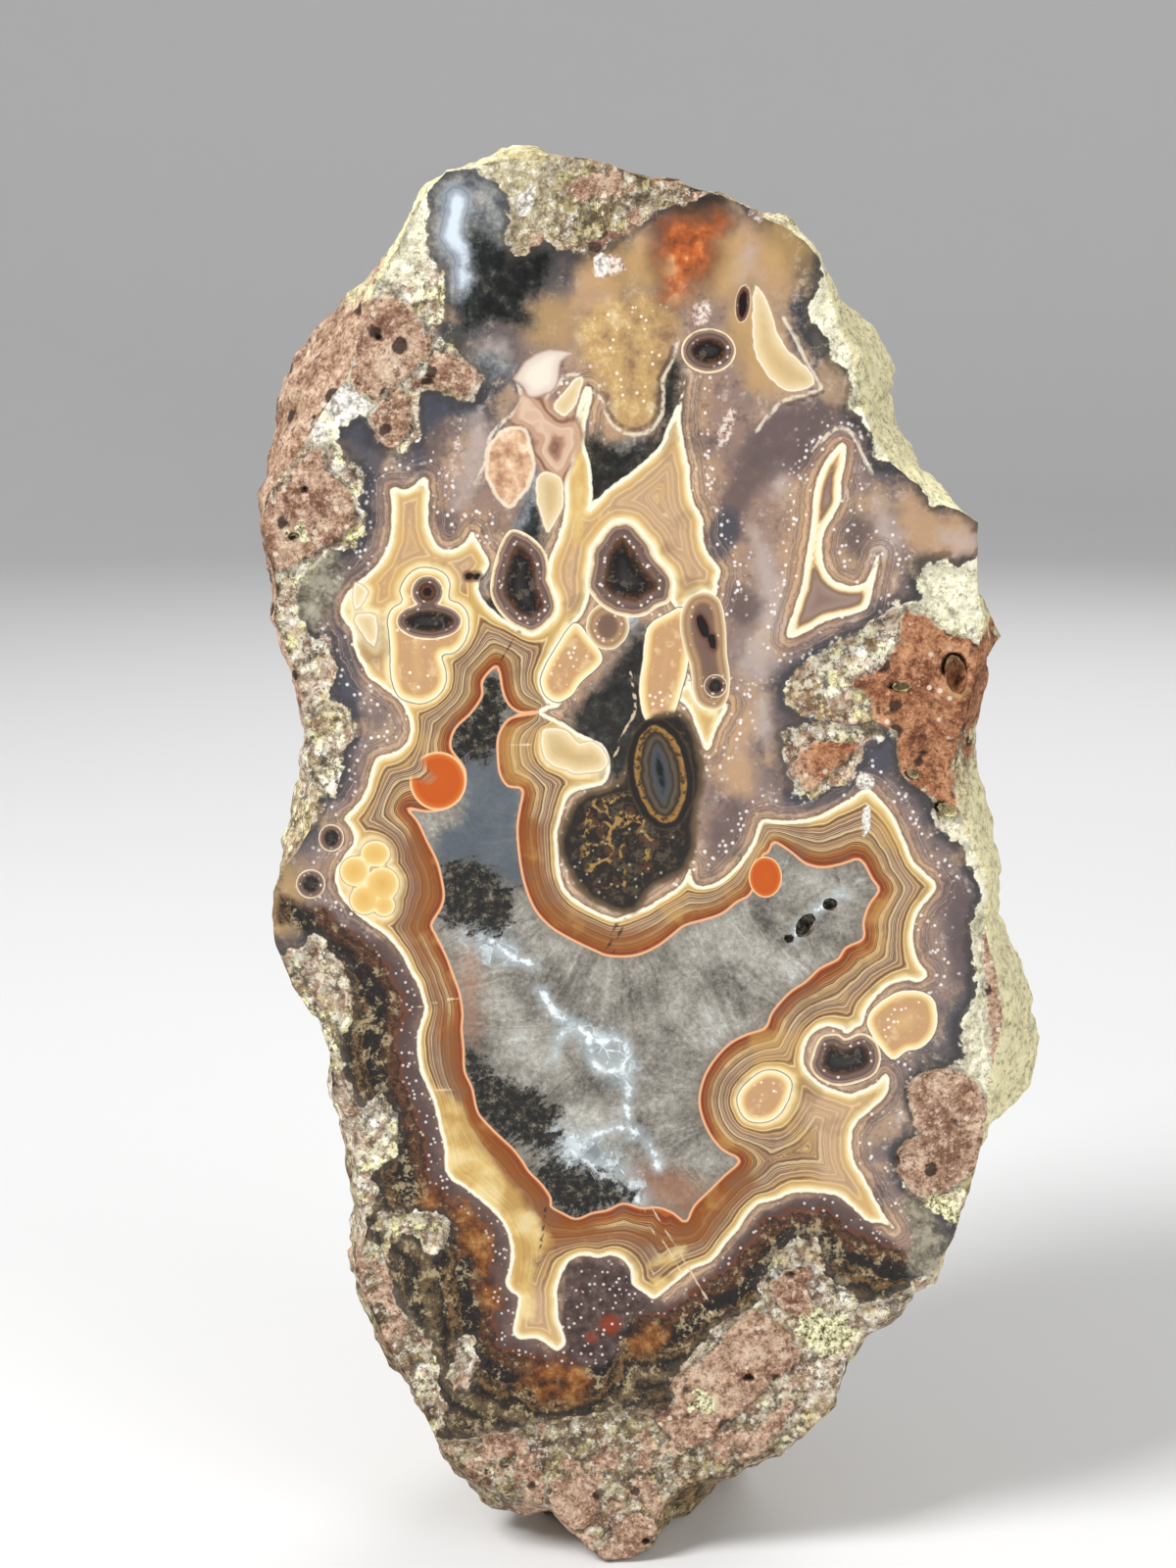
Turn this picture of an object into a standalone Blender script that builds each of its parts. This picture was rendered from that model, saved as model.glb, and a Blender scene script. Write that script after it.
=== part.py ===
"""Half of a laguna agate nodule, sawn and polished on one side and standing on a small flat spot.

The stone is one solid. Its cut face is flat and upright and looks along -Y, its weathered rind swells
behind it, and it rests on the flat spot at the origin. Lengths are in metres and +Z is up.
"""

import math

import bmesh
import bpy
from mathutils import Vector, noise

# Real size of the stone
STONE_HEIGHT = 0.190
STONE_DEPTH = 0.058

# How the photograph sees the stone: its frame and focal length in pixels, and the angle it looks down
FRAME_CENTRE_PX = (600.0, 800.0)
FOCAL_PX = 2400.0
LOOK_DOWN = math.radians(10.8)
TOP_ROW_PX = 138.0
BOTTOM_ROW_PX = 1597.0

# The flat spot: its centre is the origin, under the stone's centre of mass
FOOT_COLUMN_PX = 635.0
FOOT_SETBACK = 0.0260
FOOT_HALF_WIDTH = 0.0145
FOOT_HALF_DEPTH = 0.0170
FOOT_FADE_FRONT = 1.3
FOOT_FADE_BACK = 2.7
FOOT_FLAT_BELOW = 0.026
FOOT_FREE_ABOVE = 0.080
FOOT_BEHIND_FACE = 0.010

# The rind: how finely it is divided, and how it bellies behind the face
COLUMNS = 150
RIM_RINGS = 3
BACK_RINGS = 29
BACK_FULLNESS = 2.5
OUTLINE_SMOOTHING = 4
SMOOTH_BY = 0.30
SMOOTH_SHRINK = 0.97
RIM_SLOPE = 1.1
RIM_MIN_DEPTH = 0.004
RIM_MIN_WIDTH = 0.0007
STONE_MIDDLE_PX = (655.0, 850.0)
THICKEST_PX = (690.0, 960.0)

# Relief of the rind: how far it stands out, and how wide it is
HOLLOWS = (0.0075, 0.042)
LEDGES = (0.0026, 0.032)
LEDGE_STEEPNESS = 10.0
BOULDERS = (0.0110, 0.022)
KNOBS = (0.0046, 0.0090)
ROUGH_SINK = 0.0015
RIM_STRENGTH = 0.25
FULL_STRENGTH_BY = 0.30
WEARING_DOWN = 1
CORE_END = 0.045

# Outline of the polished face, in pixels of the photograph, clockwise from the top
FACE_EDGE_PX = [
    (545, 163), (590, 160), (625, 168), (656, 182), (704, 190), (740, 200), (763, 212), (786, 226),
    (806, 233), (830, 255), (843, 270), (845, 290), (848, 310), (858, 338), (870, 362), (876, 385),
    (876, 405), (884, 432), (900, 463), (912, 479), (930, 486), (944, 506), (958, 516), (978, 520),
    (998, 533), (999, 560), (997, 595), (1002, 625), (1009, 641), (1000, 660), (994, 690), (990, 715),
    (980, 745), (973, 776), (974, 804), (980, 831), (993, 866), (1003, 893), (1008, 912), (1004, 930),
    (1008, 962), (1016, 985), (1020, 1010), (1024, 1038), (1019, 1064), (1010, 1098), (1007, 1125),
    (1009, 1146), (1001, 1168), (994, 1198), (985, 1221), (980, 1241), (975, 1264), (966, 1284),
    (950, 1302), (930, 1318), (921, 1337), (898, 1350), (874, 1370), (858, 1390), (855, 1416),
    (846, 1438), (824, 1463), (790, 1484), (750, 1499), (716, 1511), (690, 1518), (677, 1535),
    (674, 1556), (664, 1578), (648, 1590), (626, 1596), (610, 1590), (592, 1572), (572, 1549),
    (553, 1533), (530, 1528), (505, 1515), (478, 1500), (452, 1484), (443, 1465), (431, 1440),
    (420, 1412), (403, 1388), (387, 1354), (376, 1326), (362, 1300), (362, 1284), (376, 1272),
    (374, 1244), (367, 1208), (362, 1180), (361, 1152), (345, 1130), (336, 1103), (338, 1080),
    (333, 1050), (322, 1034), (300, 1014), (293, 994), (284, 972), (277, 943), (279, 912), (290, 880),
    (308, 864), (317, 846), (319, 812), (315, 782), (316, 748), (306, 722), (304, 692), (290, 658),
    (280, 638), (282, 606), (280, 584), (271, 548), (269, 520), (276, 497), (301, 466), (318, 440),
    (334, 409), (354, 386), (364, 358), (373, 322), (384, 294), (398, 264), (413, 238), (426, 208),
    (437, 192), (452, 178), (470, 171), (494, 169), (514, 162),
]

# Widest outline of the rind behind the face, in the same order
RIND_EDGE_PX = [
    (546, 136), (556, 149), (582, 151), (620, 158), (648, 172), (686, 176), (714, 188), (740, 191),
    (763, 202), (785, 214), (803, 215), (822, 230), (838, 250), (853, 260), (855, 283), (862, 301),
    (885, 319), (904, 337), (916, 352), (916, 372), (903, 390), (906, 408), (918, 430), (927, 450),
    (944, 459), (953, 478), (975, 495), (987, 518), (1003, 528), (1001, 560), (1002, 600), (1009, 624),
    (1020, 640), (1018, 654), (1006, 664), (1003, 700), (998, 731), (990, 751), (997, 773), (1009, 800),
    (1014, 830), (1020, 860), (1026, 891), (1023, 925), (1031, 958), (1044, 975), (1052, 996),
    (1058, 1023), (1059, 1048), (1064, 1066), (1057, 1088), (1042, 1109), (1034, 1128), (1018, 1151),
    (1004, 1180), (996, 1207), (984, 1228), (984, 1246), (976, 1272), (962, 1290), (955, 1307),
    (936, 1318), (928, 1338), (904, 1354), (878, 1380), (862, 1394), (862, 1417), (852, 1438),
    (829, 1469), (794, 1493), (749, 1509), (722, 1521), (695, 1528), (681, 1538), (678, 1560),
    (667, 1581), (648, 1595), (620, 1600), (606, 1592), (590, 1576), (566, 1552), (545, 1553),
    (514, 1550), (480, 1536), (460, 1514), (443, 1491), (440, 1466), (424, 1447), (414, 1420),
    (396, 1394), (383, 1362), (370, 1334), (362, 1304), (351, 1290), (353, 1281), (368, 1273),
    (369, 1246), (362, 1208), (356, 1180), (353, 1155), (337, 1130), (328, 1102), (333, 1080),
    (327, 1052), (316, 1036), (292, 1015), (287, 994), (276, 970), (272, 943), (274, 908), (288, 874),
    (305, 860), (313, 838), (314, 805), (309, 770), (311, 748), (298, 720), (297, 688), (284, 656),
    (272, 635), (275, 603), (276, 584), (265, 546), (260, 515), (261, 492), (274, 459), (278, 434),
    (292, 404), (302, 378), (315, 350), (335, 321), (353, 301), (372, 288), (380, 270), (392, 258),
    (401, 255), (409, 236), (418, 213), (428, 187), (440, 174), (450, 167), (468, 158), (490, 156),
    (506, 142), (525, 138),
]

# Open holes in the cut face: middle in pixels, half width, half height and depth in metres, lean in degrees
FACE_VUGS = [
    ((976, 689), 0.0014, 0.0026, 0.0030, 12),
    ((921, 701), 0.0013, 0.0006, 0.0012, 0),
    ((932, 790), 0.0010, 0.0006, 0.0010, -30),
    ((967, 827), 0.0014, 0.0008, 0.0014, -20),
    ((822, 944), 0.0012, 0.0018, 0.0022, -30),
    ((847, 923), 0.0010, 0.0009, 0.0014, -10),
    ((805, 958), 0.0008, 0.0007, 0.0012, -38),
]

# Gas holes in the rind: share of the way round the outline and to the back's middle, then the radius
RIND_VESICLES = [
    (0.04, 0.52, 0.0026), (0.11, 0.30, 0.0024), (0.17, 0.61, 0.0032), (0.25, 0.24, 0.0022),
    (0.29, 0.45, 0.0029), (0.36, 0.72, 0.0034), (0.41, 0.34, 0.0026), (0.60, 0.40, 0.0028),
    (0.66, 0.70, 0.0036), (0.71, 0.26, 0.0023), (0.77, 0.48, 0.0030), (0.83, 0.20, 0.0022),
    (0.86, 0.59, 0.0033), (0.92, 0.12, 0.0022), (0.94, 0.36, 0.0028), (0.98, 0.74, 0.0031),
]


def pixel_slopes(column, row):
    """Sideways and upward travel of the line of sight through a pixel, for each metre travelled along +Y."""
    across = (column - FRAME_CENTRE_PX[0]) / FOCAL_PX
    up = (FRAME_CENTRE_PX[1] - row) / FOCAL_PX
    forward = math.cos(LOOK_DOWN) + up * math.sin(LOOK_DOWN)
    rise = up * math.cos(LOOK_DOWN) - math.sin(LOOK_DOWN)
    return across / forward, rise / forward


VIEW_DISTANCE = STONE_HEIGHT / (pixel_slopes(0, TOP_ROW_PX)[1] - pixel_slopes(0, BOTTOM_ROW_PX)[1])
EYE_HEIGHT = -VIEW_DISTANCE * pixel_slopes(0, BOTTOM_ROW_PX)[1]
EYE_X = -VIEW_DISTANCE * pixel_slopes(FOOT_COLUMN_PX, BOTTOM_ROW_PX)[0]


def place(pixel, setback=0.0):
    """The point seen at a pixel, on the upright plane that lies setback behind the cut face."""
    sideways, upward = pixel_slopes(*pixel)
    reach = VIEW_DISTANCE + setback
    return Vector((EYE_X + sideways * reach, setback - FOOT_SETBACK, EYE_HEIGHT + upward * reach))


def evenly_along(outline, count, closed=True):
    """Points at equal steps along an outline. An open one gives its start but not its end."""
    corners = [Vector(p) for p in outline]
    if closed:
        corners.append(corners[0])
    lengths = [(b - a).length for a, b in zip(corners, corners[1:])]
    step = sum(lengths) / count
    points, leg, start = [], 0, 0.0
    for i in range(count):
        while start + lengths[leg] < i * step:
            start += lengths[leg]
            leg += 1
        points.append(corners[leg].lerp(corners[leg + 1], (i * step - start) / lengths[leg]))
    return points


def smoothed(outline):
    """The outline with its small ins and outs averaged away, drawn in a little."""
    around = range(-OUTLINE_SMOOTHING, OUTLINE_SMOOTHING + 1)
    points = evenly_along(outline, COLUMNS)
    middle = Vector(STONE_MIDDLE_PX)
    means = []
    for i in range(COLUMNS):
        near = [points[(i + k) % COLUMNS] for k in around]
        mean = sum(near, Vector((0, 0))) / len(near)
        means.append(middle.lerp(mean, SMOOTH_SHRINK))
    return means


def ease(value, start, end):
    """Goes smoothly from 0 at start to 1 at end."""
    share = min(1.0, max(0.0, (value - start) / (end - start)))
    return share * share * (3.0 - 2.0 * share)


def reach_to(outline, middle, direction):
    """How far an outline of pixels lies from its middle in one direction."""
    best = 0.0
    corners = [Vector(p) - middle for p in outline]
    for a, b in zip(corners, corners[1:] + corners[:1]):
        edge = b - a
        cross = direction.x * edge.y - direction.y * edge.x
        if abs(cross) < 1e-9:
            continue
        along_ray = (a.x * edge.y - a.y * edge.x) / cross
        along_edge = (a.x * direction.y - a.y * direction.x) / cross
        if along_ray > best and 0.0 <= along_edge <= 1.0:
            best = along_ray
    return best


def hollow(point):
    """Wide swellings and hollows."""
    height, width = HOLLOWS
    return height * noise.noise(point / width)


def ledge(point):
    """Flat areas at two levels with a steep step between them."""
    height, width = LEDGES
    level = noise.noise(point / width + Vector((7.0, 3.0, 5.0)))
    return height * math.tanh(LEDGE_STEEPNESS * level)


def lump(point, size):
    """Rounded lumps that meet in creases."""
    height, width = size
    return height * (0.45 - noise.voronoi(point / width)[0][0])


def roughened(point, strength):
    """Pushes a point of the rind in or out, so that it is lumpy at several scales."""
    heart = Vector((0.0, 0.0, min(max(point.z, CORE_END), STONE_HEIGHT - CORE_END)))
    outward = (point - heart).normalized()
    push = hollow(point) + ledge(point) + lump(point, BOULDERS) + lump(point, KNOBS)
    return point + outward * strength * (push - ROUGH_SINK)


def on_the_ground(point):
    """Brings the underside down to one flat spot round the origin, and nothing below it."""
    off_centre = math.hypot(point.x / FOOT_HALF_WIDTH, point.y / FOOT_HALF_DEPTH)
    fade = FOOT_FADE_FRONT + (FOOT_FADE_BACK - FOOT_FADE_FRONT) * ease(point.y, -0.010, 0.008)
    pull = ease(off_centre, fade, 1.0) * ease(point.z, FOOT_FREE_ABOVE, FOOT_FLAT_BELOW)
    pull *= ease(point.y, -FOOT_SETBACK, -FOOT_SETBACK + FOOT_BEHIND_FACE)
    return Vector((point.x, point.y, max(0.0, point.z * (1.0 - pull))))


def rim_rings():
    """Rings from the cut face's edge out to where the stone is widest, and that ring's depth at each column."""
    middle = Vector(STONE_MIDDLE_PX)
    pixel_size = VIEW_DISTANCE / FOCAL_PX
    rings, depths = [[] for _ in range(RIM_RINGS)], []
    for rim_pixel in evenly_along(RIND_EDGE_PX, COLUMNS):
        spoke = rim_pixel - middle
        direction = spoke.normalized()
        widest_face = spoke.length - RIM_MIN_WIDTH / pixel_size
        face_reach = min(reach_to(FACE_EDGE_PX, middle, direction), widest_face)
        depth = RIM_MIN_DEPTH + RIM_SLOPE * (spoke.length - face_reach) * pixel_size
        for ring in range(RIM_RINGS):
            share = ring / RIM_RINGS
            reach = face_reach + (spoke.length - face_reach) * share ** 0.7
            point = place(middle + direction * reach, depth * share)
            rings[ring].append(roughened(point, RIM_STRENGTH * share))
        depths.append(depth)
    return rings, depths


def back_profile():
    """Evenly spaced places along the rounded back, each as a share of the width and of the depth."""
    turns = [math.pi / 2 * i / 200 for i in range(201)]
    power = 2 / BACK_FULLNESS
    curve = [(abs(math.cos(turn)) ** power, math.sin(turn) ** power) for turn in turns]
    return evenly_along(curve, BACK_RINGS, closed=False)


def back_rings(depths):
    """Rings from where the stone is widest round to the back, fewer points in each as they shrink."""
    smooth_edge = smoothed(RIND_EDGE_PX)
    rings = []
    for width_share, depth_share in back_profile():
        count = max(8, round(COLUMNS * width_share))
        sharp = evenly_along(RIND_EDGE_PX, count)
        smooth = evenly_along(smooth_edge, count)
        evenness = ease(depth_share, 0.0, SMOOTH_BY)
        strength = RIM_STRENGTH + (1.0 - RIM_STRENGTH) * ease(depth_share, 0.0, FULL_STRENGTH_BY)
        ring = []
        for i in range(count):
            rim_depth = depths[i * COLUMNS // count]
            widest = place(sharp[i].lerp(smooth[i], evenness), rim_depth)
            point = place(THICKEST_PX, rim_depth).lerp(widest, width_share)
            point.y += (STONE_DEPTH - rim_depth) * depth_share
            ring.append(roughened(point, strength))
        rings.append(ring)
    return rings


def join_rings(bm, outer, inner):
    """A strip of triangles between two rings that may differ in their number of points."""
    i = j = 0
    while i < len(outer) or j < len(inner):
        a, b = outer[i % len(outer)], inner[j % len(inner)]
        if (i + 1) * len(inner) <= (j + 1) * len(outer):
            i += 1
            bm.faces.new((a, b, outer[i % len(outer)]))
        else:
            j += 1
            bm.faces.new((a, b, inner[j % len(inner)]))


def stone_mesh(rings):
    """Joins the rings into one closed skin: the flat cut face, the rind and the middle of the back."""
    bm = bmesh.new()
    skin = [[bm.verts.new(on_the_ground(point)) for point in ring] for ring in rings]
    cut_face = bm.faces.new(skin[0])
    for outer, inner in zip(skin, skin[1:]):
        join_rings(bm, outer, inner)
    pole = bm.verts.new(sum(rings[-1], Vector()) / len(rings[-1]))
    for a, b in zip(skin[-1], skin[-1][1:] + skin[-1][:1]):
        bm.faces.new((a, pole, b))
    worn = [vert for ring in skin[RIM_RINGS + 1:] for vert in ring if vert.co.z > 0.0]
    for _ in range(WEARING_DOWN):
        bmesh.ops.smooth_vert(bm, verts=worn, factor=0.4, use_axis_x=True, use_axis_y=True, use_axis_z=True)
    bmesh.ops.recalc_face_normals(bm, faces=bm.faces)
    for face in bm.faces:
        face.smooth = False
        face.material_index = 1 if face is cut_face else 0
    mesh = bpy.data.meshes.new("agate")
    bm.to_mesh(mesh)
    bm.free()
    return mesh


def egg(bm, middle, half_sizes, lean):
    """An egg-shaped ball, leaned over in the plane of the cut face."""
    for vert in bmesh.ops.create_icosphere(bm, subdivisions=2, radius=1.0)["verts"]:
        x, y, z = (a * b for a, b in zip(vert.co, half_sizes))
        turned_x = x * math.cos(lean) - z * math.sin(lean)
        turned_z = x * math.sin(lean) + z * math.cos(lean)
        vert.co = Vector((turned_x, y, turned_z)) + middle


def hole_cutter(rings, skin):
    """One hidden object with an egg for every hole in the face and the rind, whose mesh is the skin."""
    bm = bmesh.new()
    for pixel, half_width, half_height, depth, lean in FACE_VUGS:
        egg(bm, place(pixel), (half_width, depth, half_height), math.radians(lean))
    for around, back, radius in RIND_VESICLES:
        index = RIM_RINGS + int(back * BACK_RINGS)
        before = sum(len(ring) for ring in rings[:index])
        middle = skin.vertices[before + int(around * len(rings[index]))].co
        egg(bm, middle, (radius, radius, radius * 0.8), 0.0)
    mesh = bpy.data.meshes.new("hole_cutter")
    bm.to_mesh(mesh)
    bm.free()
    cutter = bpy.data.objects.new("hole_cutter", mesh)
    cutter.hide_render = True
    cutter.display_type = "WIRE"
    return cutter


def stone_material(name, colour, roughness):
    """A plain mineral finish."""
    material = bpy.data.materials.new(name)
    material.use_nodes = True
    shader = material.node_tree.nodes["Principled BSDF"]
    shader.inputs["Base Color"].default_value = (*colour, 1.0)
    shader.inputs["Roughness"].default_value = roughness
    shader.inputs["Metallic"].default_value = 0.0
    return material


def main():
    for old in list(bpy.data.objects):
        bpy.data.objects.remove(old)
    rim, depths = rim_rings()
    rings = rim + back_rings(depths)
    agate = bpy.data.objects.new("agate", stone_mesh(rings))
    agate.data.materials.append(stone_material("weathered rind", (0.36, 0.24, 0.15), 0.9))
    agate.data.materials.append(stone_material("polished cut", (0.42, 0.30, 0.20), 0.12))
    cutter = hole_cutter(rings, agate.data)
    for part in (agate, cutter):
        bpy.context.scene.collection.objects.link(part)
    holes = agate.modifiers.new("holes", "BOOLEAN")
    holes.operation = "DIFFERENCE"
    holes.object = cutter


main()
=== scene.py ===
"""Looks of half a laguna agate nodule: its polished cut face, its rough rind, and a plain studio round it.

The markings of the cut face are drawn from outlines read off the photograph, in pixels. Each one
becomes a field, the distance inside it in millimetres, which is kept on the face's fine net of points.
material turns these fields into lines, bands and patches. Lengths are in metres where nothing else is said.
"""

import math

import bmesh
import bpy
import numpy as np
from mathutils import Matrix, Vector, geometry, noise


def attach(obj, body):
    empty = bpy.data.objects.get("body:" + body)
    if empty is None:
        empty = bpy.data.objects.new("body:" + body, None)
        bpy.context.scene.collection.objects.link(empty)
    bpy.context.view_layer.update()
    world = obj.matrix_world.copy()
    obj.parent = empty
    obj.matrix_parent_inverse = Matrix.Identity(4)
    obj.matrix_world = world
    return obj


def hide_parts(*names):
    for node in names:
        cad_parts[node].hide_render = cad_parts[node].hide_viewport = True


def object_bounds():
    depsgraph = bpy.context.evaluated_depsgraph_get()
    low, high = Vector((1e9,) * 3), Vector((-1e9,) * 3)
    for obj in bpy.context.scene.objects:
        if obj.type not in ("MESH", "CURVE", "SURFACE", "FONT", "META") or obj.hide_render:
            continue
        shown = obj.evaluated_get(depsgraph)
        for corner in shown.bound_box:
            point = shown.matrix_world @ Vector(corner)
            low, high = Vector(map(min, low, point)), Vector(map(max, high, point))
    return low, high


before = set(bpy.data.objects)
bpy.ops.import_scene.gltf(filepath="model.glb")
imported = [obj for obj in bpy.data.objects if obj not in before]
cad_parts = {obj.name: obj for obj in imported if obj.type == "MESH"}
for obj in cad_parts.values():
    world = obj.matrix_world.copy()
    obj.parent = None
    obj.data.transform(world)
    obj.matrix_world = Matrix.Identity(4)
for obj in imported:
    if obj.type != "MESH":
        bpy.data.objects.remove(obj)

CAD_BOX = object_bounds()

# How the photograph sees the stone: its frame and focal length in pixels, and the angle it looks down
FRAME_CENTRE_PX = (600.0, 800.0)
FRAME_HEIGHT_PX = 1600.0
FOCAL_PX = 2400.0
LOOK_DOWN = math.radians(10.8)
TOP_ROW_PX = 138.0
BOTTOM_ROW_PX = 1597.0
FOOT_COLUMN_PX = 635.0
STONE_HEIGHT = 0.190
FACE_Y = -0.026
SENSOR_MM = 36.0
CLIP_START = 0.01
MM_PER_M = 1000.0

# The net of the cut face, in millimetres
FACE_STEP = 0.60
EDGE_CLEARANCE = 0.38

# The rind's grains and the chips along the rim
FINE_RIM_DEPTH = 0.013
FLUSH_WITH_FACE = 0.00001
FOOT_TOP = 0.0006
# Rim edges of the CAD shorter than this are welded, because the rim folds back on itself at some
SHORT_RIM_EDGE = 0.0004
CHIP_SIZE = 0.00025
CHIP_WIDTH = 0.0016
CHIP_SEED = 7
GRAIN_FADE = 0.0016
FINE_GRAINS = (0.00060, 0.0017)
COARSE_GRAINS = (0.00120, 0.0048)
# How deep the face's gritty crust and rock are worn below the polish
CRUST_RELIEF = 0.0006
ROCK_RELIEF = 0.0003
PIT_DEPTH = 0.0012

# A push of the grains is level where a place is this share of a grain's width from its middle
LEVEL_GRAIN = 0.55
# The most that a point may move, as a share of its shortest edge
MOST_MOVE = 0.3
# Where wear starts and is full inside the crust and round a pit, in millimetres, and its tallest crumb
CRUST_WEAR = (0.2, 1.2)
PIT_WEAR = (-0.1, 0.5)
TALLEST_CRUMB = 1.6

# How finely an outline is rounded between its points
ROUNDING_STEPS = 3
# Longer than any distance here, and too short to matter
FAR_AWAY = 1e9
TINY = 1e-12
# The depth of points off the cut face inside every outline of it, in millimetres
OFF_FACE = -20.0
# How many corners an oval has
OVAL_CORNERS = 20

# Outlines on the cut face, in pixels of the photograph.
# The main chamber's outer edge, where its cream line runs
CHAMBER = [
    (400, 498), (401, 517), (400, 537), (398, 552), (393, 565), (385, 577), (372, 590), (360, 600),
    (352, 611), (348, 623), (351, 631), (360, 644), (362, 662), (370, 677), (377, 690), (393, 702),
    (408, 715), (416, 728), (420, 743), (417, 756), (408, 766), (393, 771), (385, 774), (381, 782),
    (377, 797), (372, 812), (361, 826), (352, 836), (358, 844), (362, 852), (361, 862), (352, 874),
    (344, 887), (343, 898), (348, 913), (360, 928), (378, 943), (391, 951), (401, 961), (411, 974),
    (418, 989), (426, 1002), (431, 1017), (434, 1030), (429, 1045), (426, 1060), (427, 1076), (430, 1093),
    (437, 1110), (444, 1127), (449, 1150), (454, 1170), (455, 1192), (462, 1204), (475, 1212), (489, 1223),
    (502, 1234), (513, 1247), (520, 1263), (522, 1279), (520, 1295), (517, 1309), (521, 1317), (529, 1323),
    (529, 1332), (526, 1346), (524, 1360), (532, 1366), (548, 1365), (561, 1373), (569, 1378), (577, 1370),
    (574, 1359), (569, 1346), (568, 1330), (568, 1314), (573, 1298), (582, 1285), (596, 1280), (612, 1283),
    (623, 1280), (636, 1285), (644, 1296), (646, 1310), (655, 1317), (668, 1325), (679, 1316), (692, 1306),
    (706, 1295), (727, 1285), (740, 1268), (754, 1252), (762, 1239), (773, 1228), (791, 1224), (805, 1217),
    (821, 1215), (840, 1217), (856, 1220), (869, 1231), (880, 1241), (889, 1247), (901, 1247), (912, 1254),
    (904, 1244), (896, 1231), (888, 1215), (880, 1200), (872, 1188), (868, 1170), (869, 1155), (876, 1142),
    (890, 1130), (903, 1118), (907, 1104), (903, 1096), (896, 1105), (884, 1111), (869, 1117), (855, 1114),
    (840, 1108), (825, 1096), (819, 1081), (822, 1064), (831, 1052), (843, 1046), (858, 1049), (864, 1054),
    (872, 1048), (880, 1044), (883, 1032), (893, 1017), (907, 1005), (925, 999), (937, 1001), (946, 994),
    (937, 982), (931, 964), (931, 947), (937, 929), (949, 914), (955, 903), (943, 891), (931, 879),
    (925, 864), (919, 850), (910, 832), (899, 818), (887, 806), (881, 806), (869, 815), (855, 823),
    (837, 832), (817, 838), (796, 838), (780, 837), (775, 842), (770, 856), (761, 873), (746, 891),
    (731, 902), (717, 905), (706, 900), (704, 886), (700, 897), (690, 908), (676, 917), (661, 926),
    (643, 933), (627, 938), (607, 930), (589, 920), (576, 907), (570, 887), (569, 869), (568, 849),
    (573, 831), (579, 812), (592, 805), (607, 802), (618, 797), (622, 785), (620, 771), (612, 759),
    (594, 751), (582, 743), (564, 733), (552, 727), (562, 722), (571, 720), (563, 716), (556, 710),
    (551, 695), (556, 680), (569, 657), (587, 634), (591, 631), (597, 617), (601, 604), (600, 591),
    (602, 576), (604, 561), (612, 548), (623, 536), (635, 532), (646, 535), (655, 545), (664, 556),
    (669, 568), (676, 576), (684, 585), (687, 597), (685, 610), (690, 619), (695, 622), (707, 611),
    (719, 604), (730, 608), (731, 594), (734, 581), (722, 565), (716, 547), (716, 530), (705, 507),
    (702, 476), (696, 446), (694, 420), (699, 385), (695, 406), (689, 420), (681, 437), (678, 447),
    (672, 458), (658, 471), (640, 486), (621, 499), (602, 519), (604, 513), (602, 476), (595, 447),
    (603, 402), (598, 396), (592, 412), (585, 440), (583, 470), (577, 490), (577, 501), (577, 524),
    (569, 552), (561, 572), (560, 593), (568, 613), (565, 629), (554, 640), (543, 646), (531, 642),
    (518, 635), (505, 626), (490, 608), (488, 593), (497, 580), (497, 570), (486, 552), (482, 544),
    (477, 552), (467, 560), (454, 562), (444, 555), (437, 539), (436, 521), (437, 501), (434, 488),
    (423, 496), (413, 501),
]
FORK = [
    (860, 453), (842, 473), (832, 501), (829, 534), (824, 565), (819, 598), (809, 629), (804, 650),
    (820, 645), (845, 632), (880, 623), (888, 608), (897, 565), (890, 583), (883, 595), (870, 599),
    (850, 593), (839, 575), (838, 552), (844, 534), (856, 514), (857, 490), (862, 470),
]
SMALL_TRIANGLE = [(702, 687), (700, 700), (688, 708), (703, 722), (712, 745), (721, 766), (731, 742),
                  (743, 718), (728, 722), (714, 718), (706, 704)]

# The window of clear quartz inside the main chamber
WINDOW = [
    (505, 680), (492, 695), (492, 710), (480, 728), (469, 738), (462, 748), (460, 764), (474, 784),
    (474, 802), (467, 817), (451, 826), (434, 828), (416, 825), (426, 838), (436, 859), (446, 879),
    (451, 899), (453, 915), (449, 928), (440, 943), (444, 953), (454, 973), (462, 994), (469, 1014),
    (472, 1035), (471, 1050), (473, 1070), (474, 1093), (482, 1111), (487, 1134), (497, 1147), (510, 1160),
    (523, 1172), (533, 1185), (540, 1196), (553, 1209), (562, 1223), (562, 1231), (574, 1238), (588, 1244),
    (604, 1238), (620, 1235), (636, 1228), (655, 1233), (671, 1232), (687, 1238), (700, 1247), (708, 1231),
    (724, 1215), (740, 1199), (755, 1184), (737, 1173), (723, 1155), (715, 1134), (714, 1117), (720, 1096),
    (731, 1079), (746, 1064), (764, 1055), (781, 1049), (787, 1035), (796, 1023), (808, 1011), (822, 1002),
    (837, 988), (855, 979), (863, 967), (881, 958), (881, 941), (887, 923), (897, 908), (890, 897),
    (878, 877), (861, 881), (840, 885), (822, 881), (808, 870), (790, 859), (784, 870), (778, 873),
    (767, 910), (752, 920), (737, 932), (720, 938), (699, 944), (687, 953), (673, 964), (655, 973),
    (638, 976), (620, 975), (607, 970), (582, 958), (561, 945), (546, 928), (537, 907), (532, 887),
    (529, 864), (528, 843), (531, 823), (533, 805), (518, 802), (510, 789), (508, 771), (508, 754),
    (513, 741), (523, 732), (543, 729), (551, 725), (533, 727), (520, 720), (513, 705), (510, 687),
]

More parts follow.
